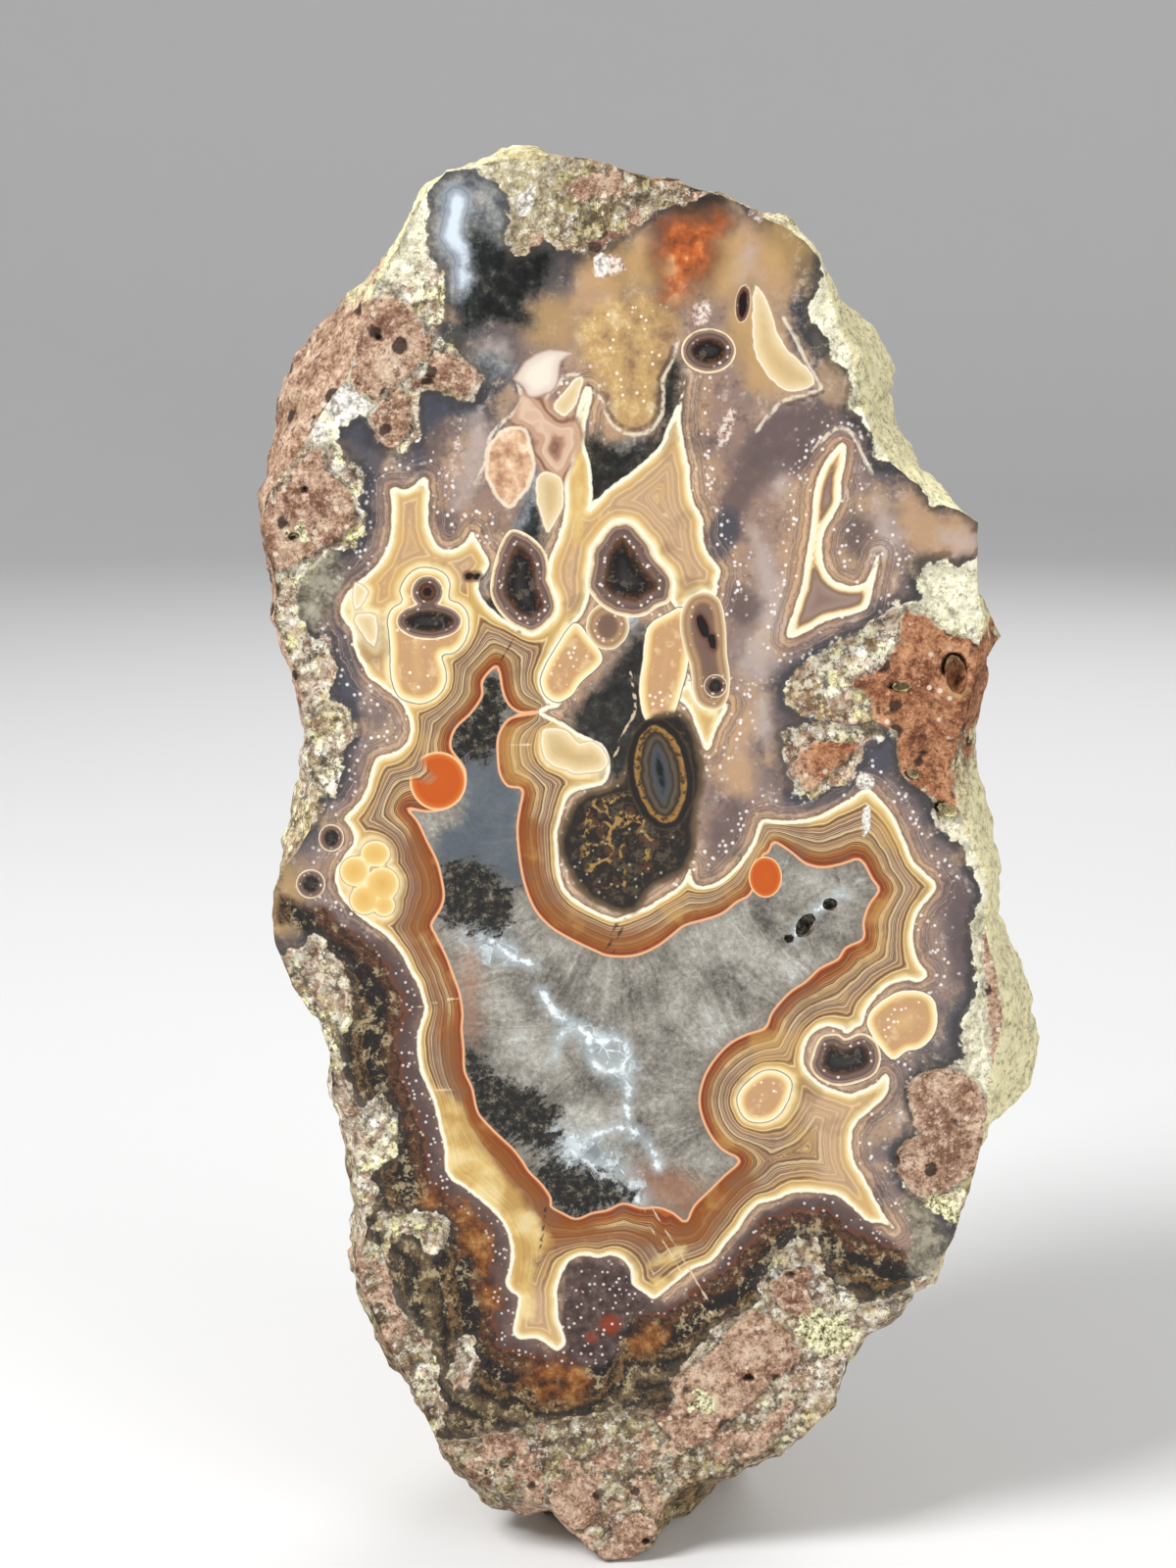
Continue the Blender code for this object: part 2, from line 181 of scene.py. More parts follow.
# The inner edge of the pale gritty crust, all round the face
HEART = [
    (451, 179), (470, 172), (490, 176), (512, 190), (522, 215), (517, 240), (527, 262), (555, 245),
    (575, 255), (600, 258), (620, 250), (645, 232), (671, 217), (689, 209), (709, 207), (732, 194),
    (763, 204), (778, 217), (799, 222), (814, 230), (832, 248), (837, 278), (832, 299), (827, 324),
    (844, 344), (850, 370), (865, 378), (870, 395), (865, 418), (883, 434), (890, 449), (895, 472),
    (908, 473), (934, 483), (946, 506), (952, 516), (977, 514), (1000, 532), (1002, 565), (997, 572),
    (974, 577), (962, 572), (941, 577), (936, 593), (941, 608), (918, 618), (903, 626), (875, 646),
    (844, 662), (814, 685), (801, 705), (809, 723), (832, 731), (890, 738), (913, 751), (916, 779),
    (926, 799), (949, 817), (954, 843), (978, 859), (987, 882), (1001, 911), (990, 938), (990, 958),
    (993, 982), (995, 1017), (984, 1038), (978, 1064), (984, 1082), (943, 1093), (928, 1110), (930, 1130),
    (938, 1158), (918, 1172), (918, 1200), (941, 1223), (976, 1247), (963, 1282), (936, 1306), (915, 1319),
    (877, 1330), (872, 1319), (842, 1298), (834, 1268), (813, 1263), (791, 1279), (778, 1306), (770, 1335),
    (738, 1346), (722, 1365), (700, 1392), (684, 1410), (687, 1434), (671, 1443), (647, 1437), (615, 1440),
    (574, 1448), (542, 1453), (513, 1461), (489, 1464), (470, 1469), (446, 1467), (454, 1448), (451, 1421),
    (438, 1367), (414, 1341), (400, 1314), (398, 1298), (384, 1271), (374, 1247), (387, 1215), (376, 1196),
    (400, 1183), (406, 1178), (403, 1139), (388, 1114), (370, 1129), (352, 1093), (347, 1063), (357, 1042),
    (355, 996), (337, 973), (324, 953), (306, 968), (281, 973), (272, 960), (270, 925), (278, 890),
    (293, 862), (311, 848), (327, 826), (326, 817), (344, 807), (348, 779), (352, 764), (362, 748),
    (357, 725), (347, 720), (337, 708), (339, 700), (344, 685), (339, 667), (334, 651), (311, 644),
    (305, 603), (314, 593), (337, 567), (360, 557), (372, 544), (375, 527), (366, 514), (372, 500),
    (368, 480), (355, 470), (345, 440), (360, 425), (371, 425), (380, 440), (383, 450), (400, 458),
    (420, 455), (430, 440), (425, 420), (437, 398), (474, 410), (487, 395), (490, 385), (480, 368),
    (465, 352), (450, 345), (444, 337), (454, 314), (451, 283), (439, 263), (436, 227), (439, 197),
]

# Pieces of brown volcanic rock caught in the crust
ROCKS = [
    [(393, 301), (413, 309), (429, 332), (440, 350), (429, 370), (408, 390), (385, 408), (370, 403),
     (355, 388), (360, 365), (365, 337), (377, 314)],
    [(446, 357), (469, 367), (485, 380), (487, 390), (474, 401), (454, 398), (429, 395), (418, 395),
     (434, 380), (441, 365)],
    [(377, 424), (408, 398), (416, 413), (418, 434), (408, 452), (395, 454), (383, 439)],
    [(275, 514), (314, 463), (326, 455), (334, 481), (352, 496), (360, 516), (360, 534), (347, 549),
     (326, 560), (309, 572), (288, 583), (278, 572), (268, 552), (265, 526)],
    [(921, 628), (946, 629), (955, 640), (975, 648), (992, 654), (1004, 666), (1001, 696), (998, 727),
     (990, 750), (973, 776), (973, 801), (979, 831), (964, 827), (952, 813), (936, 801), (921, 790),
     (917, 773), (915, 752), (903, 739), (892, 733), (888, 712), (868, 696), (891, 687), (910, 666),
     (921, 651)],
    [(814, 769), (837, 759), (875, 757), (873, 766), (850, 789), (832, 805), (819, 805), (811, 792)],
    [(926, 1106), (944, 1095), (966, 1092), (984, 1097), (1002, 1110), (1007, 1133), (1012, 1158),
     (996, 1195), (978, 1210), (963, 1218), (941, 1222), (926, 1213), (917, 1192), (915, 1176), (926, 1164),
     (938, 1158), (932, 1143), (929, 1126)],
    [(765, 1335), (791, 1351), (813, 1375), (815, 1392), (794, 1408), (770, 1429), (749, 1448), (724, 1469),
     (700, 1480), (682, 1464), (668, 1448), (687, 1434), (687, 1408), (722, 1386), (743, 1362)],
    [(786, 1309), (807, 1298), (829, 1292), (824, 1314), (834, 1341), (829, 1351), (807, 1341), (791, 1327)],
    [(818, 1424), (807, 1442), (791, 1469), (770, 1491), (754, 1492), (770, 1469), (786, 1448), (805, 1429)],
    [(572, 1512), (593, 1512), (609, 1525), (609, 1542), (599, 1560), (582, 1560), (566, 1544), (558, 1525)],
    [(652, 1547), (671, 1555), (671, 1571), (652, 1590), (623, 1598), (609, 1592), (617, 1574), (633, 1558)],
    [(1012, 935), (1026, 940), (1034, 980), (1034, 1040), (1030, 1090), (1020, 1110), (1012, 1080),
     (1008, 1030), (1004, 990), (1006, 955)],
]
# Grit that lies between the rocks, inside the inner edge of the crust
GRIT = [
    [(918, 616), (903, 626), (875, 646), (844, 662), (814, 685), (801, 705), (809, 723), (832, 731),
     (839, 733), (875, 743), (883, 705), (867, 695), (898, 674), (921, 654)],
    [(946, 593), (975, 590), (1005, 610), (1018, 640), (1005, 654), (965, 645), (946, 625)],
    [(800, 750), (838, 735), (890, 740), (905, 752), (885, 762), (870, 790), (835, 812), (810, 805)],
    [(385, 1240), (410, 1236), (452, 1240), (460, 1262), (440, 1280), (425, 1262), (405, 1262), (392, 1290)],
    [(470, 1362), (486, 1372), (484, 1400), (470, 1420), (457, 1412), (462, 1385)],
]


def oval(column, row, half_width, half_height, lean=0.0):
    """An ellipse as an outline in pixels, leaning clockwise by some degrees."""
    turn = math.radians(lean)
    outline = []
    for i in range(OVAL_CORNERS):
        around = 2.0 * math.pi * i / OVAL_CORNERS
        x, y = half_width * math.cos(around), half_height * math.sin(around)
        outline.append((column + x * math.cos(turn) - y * math.sin(turn),
                        row + x * math.sin(turn) + y * math.cos(turn)))
    return outline


# Holes and slots in the rock, and the tan floor of the widest one
ROCK_PITS = [
    oval(918, 702, 14, 4, 5), oval(943, 770, 10, 3), oval(931, 790, 7, 5), oval(964, 826, 13, 6, 20),
    oval(974, 680, 14, 14, -20), oval(764, 1408, 7, 4), oval(807, 1303, 7, 3), oval(436, 389, 8, 4),
    oval(310, 500, 5, 4), oval(300, 548, 7, 5), oval(386, 345, 5, 4), oval(660, 1575, 6, 4),
]
PIT_FLOORS = [oval(977, 702, 13, 12)]
# White and yellow-green lumps on the crust, and its glassy greenish edges
WHITE_LUMPS = [
    [(352, 387), (365, 401), (379, 416), (362, 426), (344, 434), (332, 421), (329, 408), (337, 393)],
    oval(325, 439, 9, 13), oval(536, 206, 9, 16, 20), oval(614, 270, 9, 12), oval(883, 797, 9, 9),
    oval(884, 838, 5, 16, 5),
]
YELLOW_LUMPS = [
    oval(305, 544, 9, 9), oval(717, 1432, 12, 13), oval(843, 1362, 30, 24, 20),
    [(943, 1222), (963, 1218), (978, 1227), (983, 1242), (972, 1250), (956, 1242)],
]
GLASSY_EDGES = [
    [(301, 600), (320, 572), (347, 565), (350, 600), (330, 639), (308, 632)],
    [(920, 1225), (944, 1226), (962, 1250), (968, 1280), (945, 1305), (922, 1290), (930, 1260)],
]
# Tan lobes with a white line and a cream rim
ORBS = [
    [(752, 1120), (761, 1105), (778, 1093), (796, 1093), (808, 1105), (803, 1126), (793, 1140), (775, 1146),
     (758, 1140)],
    [(890, 1058), (884, 1041), (893, 1026), (913, 1013), (934, 1010), (951, 1017), (957, 1035), (954, 1055),
     (940, 1070), (925, 1073), (910, 1082)],
    [(587, 634), (569, 657), (556, 680), (551, 695), (556, 710), (569, 717), (584, 710), (594, 695),
     (610, 682), (615, 669), (602, 651)],
    [(434, 579), (451, 583), (459, 595), (458, 611), (469, 616), (477, 626), (478, 644), (472, 659),
     (462, 667), (451, 669), (455, 685), (454, 700), (444, 713), (429, 718), (411, 714), (402, 703),
     (398, 685), (398, 667), (397, 649), (395, 634), (400, 621), (411, 614), (408, 603), (413, 590),
     (423, 581)],
    [(660, 640), (680, 626), (698, 620), (704, 650), (702, 680), (694, 712), (683, 740), (668, 745),
     (655, 728), (652, 700), (656, 670)],
]
# Plumes and bulbs that stay pale to the middle
PLUMES = [
    [(552, 748), (562, 742), (578, 746), (592, 758), (606, 757), (618, 768), (620, 782), (606, 788),
     (588, 790), (572, 784), (556, 776)],
    [(770, 290), (786, 314), (799, 350), (824, 375), (832, 393), (806, 400), (784, 385), (768, 352)],
    [(570, 423), (565, 412), (579, 395), (588, 384), (596, 384), (594, 398), (586, 416), (579, 425)],
    [(546, 503), (549, 485), (560, 481), (572, 487), (576, 501), (574, 519), (560, 545), (552, 530)],
    [(361, 631), (384, 627), (383, 662)],
    [(361, 594), (376, 603), (363, 624)],
    oval(883, 797, 9, 9),
]
# Warm translucent places, pale hazes and dusky purple-grey ones in the chalcedony
PEACHES = [
    [(852, 446), (836, 460), (824, 486), (812, 516), (806, 560), (796, 604), (782, 634), (768, 662),
     (800, 664), (812, 640), (822, 600), (830, 560), (836, 510), (846, 474)],
    [(925, 500), (950, 520), (985, 530), (998, 550), (985, 566), (955, 570), (930, 560), (915, 530)],
    [(735, 220), (760, 225), (790, 250), (810, 290), (790, 310), (765, 290), (740, 300), (728, 270)],
    [(742, 320), (775, 300), (790, 330), (800, 362), (812, 395), (785, 402), (758, 388), (768, 352)],
    [(606, 402), (618, 420), (640, 446), (672, 440), (668, 452), (640, 462), (614, 446), (604, 424)],
    oval(742, 742, 20, 34, 20), oval(800, 205, 26, 12, 25), oval(752, 788, 20, 24),
    [(905, 826), (925, 858), (950, 890), (958, 902), (946, 905), (925, 880), (908, 852)],
    oval(610, 300, 22, 30, -20), oval(660, 260, 16, 30, -20),
]
HAZES = [
    [(765, 535), (778, 545), (800, 590), (800, 640), (785, 660), (775, 640), (768, 590)],
    [(893, 512), (912, 530), (918, 556), (900, 575), (886, 580), (894, 545)],
    oval(772, 670, 18, 26), oval(978, 552, 20, 11), oval(782, 735, 12, 22), oval(795, 490, 9, 16),
    [(480, 420), (500, 432), (494, 470), (480, 505), (462, 520), (470, 490), (478, 450)],
    oval(640, 735, 14, 26, 20), oval(540, 562, 9, 22, 10), oval(760, 270, 10, 22, 25),
    oval(500, 360, 20, 14),
]
DUSKS = [
    [(770, 436), (800, 418), (835, 410), (862, 425), (850, 440), (835, 455), (826, 475), (812, 485),
     (790, 485), (775, 500), (762, 520), (750, 545), (740, 560), (728, 548), (730, 520), (742, 490),
     (750, 465)],
    oval(874, 545, 13, 24), oval(760, 618, 20, 20), oval(742, 850, 18, 36, 20),
    [(795, 700), (815, 728), (850, 745), (880, 765), (905, 750), (912, 790), (880, 785), (840, 815),
     (800, 820), (790, 770), (786, 730)],
    oval(458, 535, 10, 14), oval(440, 450, 14, 26), oval(560, 262, 22, 14), oval(705, 205, 16, 14),
    [(965, 880), (990, 920), (988, 985), (975, 1010), (965, 960), (960, 920)],
    oval(668, 272, 12, 12),
]
# Wide plain zones of the bands: amber brown, and pale yellow like gel
AMBER_BANDS = [
    [(425, 830), (450, 900), (436, 960), (470, 1060), (480, 1110), (540, 1200), (600, 1245), (690, 1245),
     (750, 1190), (776, 1215), (730, 1270), (640, 1282), (570, 1300), (540, 1260), (500, 1190), (455, 1110),
     (436, 1030), (410, 960), (385, 930), (405, 880)],
    [(530, 830), (530, 880), (560, 940), (620, 972), (690, 948), (770, 905), (776, 880), (730, 915),
     (650, 945), (590, 925), (560, 880), (556, 840)],
]
GELS = [
    [(437, 1110), (449, 1150), (455, 1192), (475, 1212), (502, 1234), (520, 1263), (520, 1300), (530, 1345),
     (546, 1345), (548, 1290), (560, 1262), (530, 1215), (500, 1180), (465, 1120)],
    [(655, 1300), (690, 1290), (700, 1270), (660, 1290), (668, 1322), (690, 1304)],
    [(597, 400), (584, 470), (580, 540), (590, 560), (600, 530), (598, 470)],
]
# Fine lines drawn in the chalcedony, pale and dark
PALE_LINES = [
    [(600, 397), (612, 405), (617, 418), (624, 432), (638, 442), (652, 444), (666, 437), (675, 423),
     (677, 402), (676, 388), (684, 372), (690, 356), (692, 345)],
    [(527, 387), (531, 398), (532, 410), (526, 420), (516, 428), (507, 437), (500, 446), (497, 462),
     (492, 480), (484, 496)],
    [(592, 381), (578, 384), (566, 396), (556, 408)],
    [(799, 324), (812, 345), (819, 362), (830, 382), (838, 396), (820, 403), (800, 409), (788, 420),
     (772, 440)],
    [(592, 412), (589, 440), (590, 470), (590, 500), (588, 530)],
    [(828, 460), (844, 444), (860, 436), (873, 447), (881, 466), (890, 484)],
    [(553, 578), (549, 560), (541, 548)],
    [(330, 600), (318, 620), (306, 640)],
]
DARK_LINES = [
    [(600, 393), (609, 401), (620, 403), (620, 416), (626, 428), (638, 436), (652, 438), (664, 431),
     (671, 419), (673, 400), (672, 386), (681, 370), (687, 354)],
    [(800, 413), (816, 409), (840, 400)],
    [(545, 392), (560, 384), (574, 372)], [(560, 490), (552, 470), (550, 452)],
]
# Where the crust is bright cream-yellow, and where it is dark and dingy, as for the rind below
BRIGHT_CRUST = [((1000, 545), 0.006, 0.016), ((930, 450), 0.008, 0.014), ((1040, 860), 0.006, 0.014),
                ((1055, 960), 0.006, 0.016), ((1060, 1060), 0.006, 0.016), ((1040, 1140), 0.008, 0.012),
                ((850, 320), 0.008, 0.016), ((480, 160), 0.006, 0.014), ((380, 220), 0.006, 0.012),
                ((345, 410), 0.000, 0.006), ((1010, 640), 0.020, 0.020), ((1000, 1250), 0.020, 0.020)]
DINGY_CRUST = [((500, 1500), 0.002, 0.016), ((600, 1500), 0.002, 0.020), ((720, 1500), 0.004, 0.014),
               ((600, 200), 0.002, 0.012), ((540, 215), 0.001, 0.008), ((700, 205), 0.001, 0.008),
               ((380, 1330), 0.002, 0.010)]
# The browner rock, and the grey quartz round the small open vugs, given as balls in the same way
BROWN_ROCK = [((945, 720), 0.002, 0.020)]
VUGS = [((833, 940), 0.003, 0.009)]
# Flesh-coloured folds, the pinkish white bulb above them and the peach one below
PINKS = [
    [(531, 412), (535, 400), (560, 408), (572, 425), (590, 425), (595, 447), (585, 470), (570, 500),
     (552, 480), (545, 460), (540, 440), (520, 434)],
]
BULBS = [
    [(529, 379), (524, 387), (529, 391), (534, 397), (539, 405), (550, 405), (565, 398), (570, 390),
     (572, 379), (573, 369), (586, 360), (560, 356), (539, 366)],
]
FLESH = [
    [(507, 442), (518, 436), (531, 435), (539, 442), (543, 459), (546, 475), (543, 489), (532, 508),
     (518, 519), (499, 496), (494, 475), (499, 454)],
]
# Cream bubbles
BUBBLES = [
    oval(390, 902, 18, 18), oval(383, 871, 16, 14), oval(362, 889, 16, 16), oval(372, 918, 16, 16),
    oval(392, 924, 12, 12),
]
# Orange balls at the edge of the quartz
BALLS = [oval(447, 797, 29, 30), oval(781, 895, 17, 21)]
# Dark eyes: a cream rim, a mauve ring and a black-brown core
EYES = [
    [(828, 1079), (837, 1058), (855, 1055), (863, 1060), (878, 1054), (893, 1061), (899, 1079), (893, 1096),
     (875, 1105), (855, 1108), (837, 1102), (827, 1090)],
    [(635, 532), (646, 535), (655, 545), (664, 556), (669, 568), (676, 576), (684, 585), (687, 597),
     (685, 610), (681, 616), (670, 620), (659, 628), (640, 630), (618, 622), (601, 604), (600, 591),
     (602, 576), (604, 561), (612, 548), (623, 536)],
    [(505, 572), (512, 552), (522, 540), (538, 545), (553, 558), (560, 575), (560, 593), (568, 613),
     (565, 629), (554, 640), (543, 646), (533, 643), (518, 634), (505, 618), (500, 600)],
    oval(436, 604, 17, 17), oval(438, 634, 34, 19), oval(723, 358, 28, 23),
    oval(338, 855, 13, 14), oval(317, 902, 15, 15), oval(758, 310, 8, 20, 6), oval(730, 700, 12, 12),
]
# Brown translucent capsules with a cream rim
CAPSULES = [
    [(704, 608), (722, 604), (735, 613), (740, 634), (742, 667), (745, 692), (742, 715), (730, 725),
     (714, 720), (707, 705), (704, 680), (696, 654), (694, 629)],
    oval(620, 639, 22, 24),
]
# Small slits and pits that are nearly black
SLITS = [
    oval(717, 639, 5, 14, -20), oval(727, 655, 4, 9, -10), oval(436, 604, 5, 5), oval(478, 588, 4, 4),
    oval(487, 588, 4, 4), oval(758, 310, 4, 15, 6), oval(652, 888, 10, 8), oval(618, 860, 7, 22, 10),
]
# The mossy heart: black with gold threads, and the ringed gold eye beside it
MOSS = [
    [(583, 835), (596, 816), (622, 808), (640, 796), (650, 765), (664, 740), (690, 732), (708, 760),
     (712, 800), (704, 835), (704, 865), (690, 890), (664, 900), (645, 925), (615, 918), (592, 900),
     (578, 868)],
]
# Where its gold threads are
GOLD_MOSS = [
    [(604, 822), (640, 812), (668, 826), (662, 842), (640, 846), (634, 876), (640, 902), (620, 906),
     (600, 890), (594, 856)],
    [(650, 850), (664, 852), (662, 876), (652, 872)],
]
GOLD_EYE = [oval(674, 790, 34, 58, -8)]
# Black-green smoke in the chalcedony, blue-grey pools, ochre clouds, orange patches
SMOKE = [
    [(585, 740), (600, 715), (620, 695), (640, 667), (655, 650), (665, 670), (650, 700), (668, 720),
     (655, 750), (640, 790), (625, 795), (620, 771), (600, 752)],
    [(600, 447), (601, 476), (604, 513), (621, 499), (640, 486), (658, 471), (672, 458), (678, 447),
     (640, 462)],
    [(485, 235), (520, 262), (560, 250), (556, 285), (530, 310), (540, 330), (500, 322), (478, 335),
     (470, 310), (488, 285)],
    [(672, 380), (690, 372), (684, 430), (672, 440)],
    oval(543, 202, 14, 18), oval(488, 640, 9, 30, 30),
    [(545, 570), (552, 490), (538, 530), (508, 608), (530, 630)],
    [(690, 205), (735, 200), (738, 222), (700, 226)],
]
BLUES = [
    [(438, 191), (469, 170), (494, 175), (515, 204), (517, 235), (508, 267), (489, 286), (479, 311),
     (460, 305), (451, 273), (437, 254), (437, 222)],
    oval(484, 586, 12, 18), oval(640, 639, 10, 16), oval(500, 372, 22, 12), oval(640, 462, 24, 12, -30),
]
# Slate-dark pools beside the crust
SLATES = [
    [(420, 402), (483, 401), (483, 419), (440, 430), (434, 475), (420, 475)],
    [(345, 420), (385, 440), (395, 466), (390, 478), (372, 520), (378, 545), (360, 560), (368, 500),
     (350, 460)],
    oval(738, 545, 14, 26, 20),
    [(797, 720), (805, 690), (830, 660), (870, 640), (897, 612), (904, 618), (876, 650), (836, 672),
     (812, 700), (808, 722)],
    [(345, 640), (356, 660), (366, 700), (360, 730), (345, 716), (344, 685)],
    [(880, 765), (905, 750), (912, 780), (880, 800), (850, 820), (815, 822), (800, 812), (830, 800)],
]
# The amber finger that hangs from the top, and softer ochre clouds
AMBERS = [
    [(590, 335), (602, 318), (625, 306), (655, 300), (684, 306), (694, 330), (688, 352), (679, 375),
     (671, 400), (671, 421), (663, 436), (648, 441), (635, 439), (623, 424), (619, 405), (608, 385),
     (596, 365)],
]
BLUE_STREAKS = [
    [(466, 203), (464, 222), (462, 241), (474, 255), (475, 273), (475, 299)],
    [(440, 352), (424, 366), (408, 388), (380, 413)],
    [(551, 493), (545, 520), (528, 560), (520, 590)],
    [(624, 599), (637, 627)],
]
OCHRES = [
    oval(417, 518, 12, 14), oval(800, 250, 24, 34), oval(290, 920, 18, 40, 10), oval(560, 330, 30, 26),
    oval(640, 275, 40, 24), oval(735, 270, 24, 34), oval(770, 350, 22, 50, -20),
]
ORANGES = [
    [(681, 232), (696, 227), (722, 230), (735, 225), (725, 240), (726, 260), (717, 278), (702, 283),
     (696, 299), (684, 304), (686, 283), (679, 263), (677, 245)],
    oval(694, 562, 6, 18), oval(623, 1351, 10, 10), oval(603, 1365, 5, 5),
]
# Gritty white and pink specks scattered in the chalcedony
SPECKS = [
    oval(622, 272, 20, 14, -20), oval(716, 320, 12, 16, 20), oval(741, 437, 9, 26, 25),
    oval(776, 216, 14, 12),
    oval(466, 455, 5, 36, 8), oval(700, 668, 6, 20), oval(600, 250, 22, 10), oval(430, 340, 8, 14),
]
# The dark brown ground between the main chamber and the crust, at the lower left and bottom
MURK = [
    (283, 905), (300, 922), (330, 925), (360, 945), (400, 965), (425, 1000), (445, 1050), (440, 1100),
    (455, 1150), (465, 1195), (520, 1235), (535, 1290), (560, 1380), (590, 1300), (640, 1290), (680, 1330),
    (730, 1290), (780, 1235), (850, 1220), (905, 1262), (925, 1285), (915, 1320), (850, 1340), (790, 1300),
    (770, 1350), (700, 1400), (690, 1450), (620, 1460), (540, 1470), (450, 1490), (430, 1380), (400, 1310),
    (370, 1250), (370, 1190), (395, 1140), (350, 1100), (345, 1000), (310, 950), (285, 940),
]
# The mauve pocket in it, and its translucent orange-brown places
MAUVES = [
    [(575, 1300), (596, 1284), (630, 1286), (644, 1310), (664, 1330), (640, 1350), (625, 1385), (590, 1392),
     (577, 1370)],
]
EMBERS = [
    [(462, 1225), (485, 1235), (500, 1260), (505, 1300), (508, 1335), (492, 1330), (480, 1290), (466, 1255)],
    [(545, 1380), (590, 1390), (600, 1421), (560, 1432), (535, 1410)],
    oval(440, 1225, 10, 20), oval(660, 1370, 22, 12, -30),
]
# Inside the quartz: black mossy patches at its edge, bright white crystals, and the small open vugs
QUARTZ_DARKS = [
    [(451, 884), (469, 882), (490, 884), (505, 899), (520, 912), (520, 933), (505, 950), (480, 945),
     (454, 938)],
    [(476, 1073), (490, 1083), (508, 1104), (525, 1104), (541, 1114), (569, 1137), (561, 1149), (569, 1157),
     (559, 1170), (531, 1167), (513, 1157), (492, 1139), (482, 1111)],
    [(545, 1191), (561, 1185), (588, 1191), (604, 1201), (623, 1209), (641, 1220), (615, 1231), (588, 1240),
     (566, 1228), (553, 1207)],
    [(460, 770), (468, 740), (485, 722), (495, 700), (510, 690), (515, 720), (512, 745), (505, 765),
     (480, 775)],
]
QUARTZ_WHITES = [
    [(571, 1037), (599, 1050), (620, 1055), (640, 1075), (645, 1100), (633, 1106), (615, 1090), (600, 1066),
     (580, 1050)],
    [(548, 1145), (600, 1160), (640, 1190), (660, 1222), (640, 1215), (600, 1200), (566, 1185)],
    oval(500, 960, 30, 14, 30),
]
# Deep blue-grey quartz in the window's neck
QUARTZ_DEEPS = [
    [(463, 765), (500, 750), (512, 790), (530, 810), (526, 860), (534, 900), (505, 900), (455, 890),
     (442, 860), (472, 832), (476, 800)],
]
# Bright veins between its crystals
WHITE_VEINS = [
    [(566, 1034), (584, 1044), (600, 1056), (612, 1062), (630, 1060), (640, 1072), (634, 1090), (618, 1092),
     (604, 1082), (600, 1062)],
    [(634, 1090), (642, 1110), (640, 1135), (648, 1160)], [(560, 1152), (590, 1180), (625, 1205),
                                                           (652, 1226)],
    [(584, 1044), (570, 1060), (566, 1078)], [(600, 1160), (640, 1150), (662, 1168), (672, 1190)],
    [(808, 960), (818, 944), (832, 930), (850, 916), (862, 912)],
    [(480, 944), (500, 958), (520, 975), (545, 985)], [(552, 1010), (566, 1034)],
]
# Where the quartz is thin and the warm edge shows through
WARM_QUARTZ = [oval(690, 1218, 55, 22, 20), oval(478, 1020, 12, 50)]
# Fractures healed with a pale line, and dark open ones
PALE_CRACKS = [
    [(655, 1232), (668, 1258), (680, 1272), (690, 1290), (702, 1312), (716, 1332), (730, 1343)],
    [(664, 1228), (676, 1252), (690, 1270), (704, 1296), (722, 1326)],
    [(418, 1030), (440, 1024), (469, 1018)],
    [(445, 1112), (482, 1110)],
    [(513, 763), (532, 760), (552, 757)],
    [(643, 685), (645, 695), (648, 725), (635, 751), (625, 779)],
]
DARK_CRACKS = [
    [(617, 975), (624, 955), (630, 936)],
    [(626, 972), (634, 948), (640, 936)],
    [(534, 639), (520, 660), (507, 684)],
    [(557, 1231), (553, 1262), (548, 1292)],
]
# Red-brown vesicular rock and salt-and-pepper crust on the rind: middle in pixels, distance behind the
# face and radius in metres
RED_ROCK = [((325, 400), 0.006, 0.016), ((275, 520), 0.008, 0.014), ((280, 670), 0.006, 0.009),
            ((1005, 700), 0.003, 0.009), ((600, 1580), 0.004, 0.010), ((640, 700), 0.060, 0.040),
            ((560, 1150), 0.060, 0.034), ((700, 1350), 0.050, 0.020), ((420, 900), 0.040, 0.018),
            ((900, 1300), 0.030, 0.014)]
SPECKLED = [((300, 1000), 0.004, 0.010), ((335, 1120), 0.004, 0.012), ((375, 1260), 0.004, 0.014),
            ((420, 1420), 0.004, 0.014), ((500, 1520), 0.004, 0.012), ((310, 750), 0.004, 0.009),
            ((780, 1500), 0.006, 0.012), ((900, 1350), 0.006, 0.012)]


def pixel_slopes(column, row):
    """Sideways and upward travel of the line of sight through a pixel, for each metre travelled along +Y."""
    across = (column - FRAME_CENTRE_PX[0]) / FOCAL_PX
    up = (FRAME_CENTRE_PX[1] - row) / FOCAL_PX
    forward = math.cos(LOOK_DOWN) + up * math.sin(LOOK_DOWN)
    rise = up * math.cos(LOOK_DOWN) - math.sin(LOOK_DOWN)
    return across / forward, rise / forward


VIEW_DISTANCE = STONE_HEIGHT / (pixel_slopes(0, TOP_ROW_PX)[1] - pixel_slopes(0, BOTTOM_ROW_PX)[1])
EYE_HEIGHT = -VIEW_DISTANCE * pixel_slopes(0, BOTTOM_ROW_PX)[1]
EYE_X = -VIEW_DISTANCE * pixel_slopes(FOOT_COLUMN_PX, BOTTOM_ROW_PX)[0]


def face_mm(pixel):
    """Where a pixel falls on the cut face: sideways and up from the origin, in millimetres."""
    sideways, upward = pixel_slopes(*pixel)
    return MM_PER_M * (EYE_X + sideways * VIEW_DISTANCE), MM_PER_M * (EYE_HEIGHT + upward * VIEW_DISTANCE)


def ease(value, start, end):
    """Goes smoothly from 0 at start to 1 at end."""
    share = min(1.0, max(0.0, (value - start) / (end - start)))
    return share * share * (3.0 - 2.0 * share)


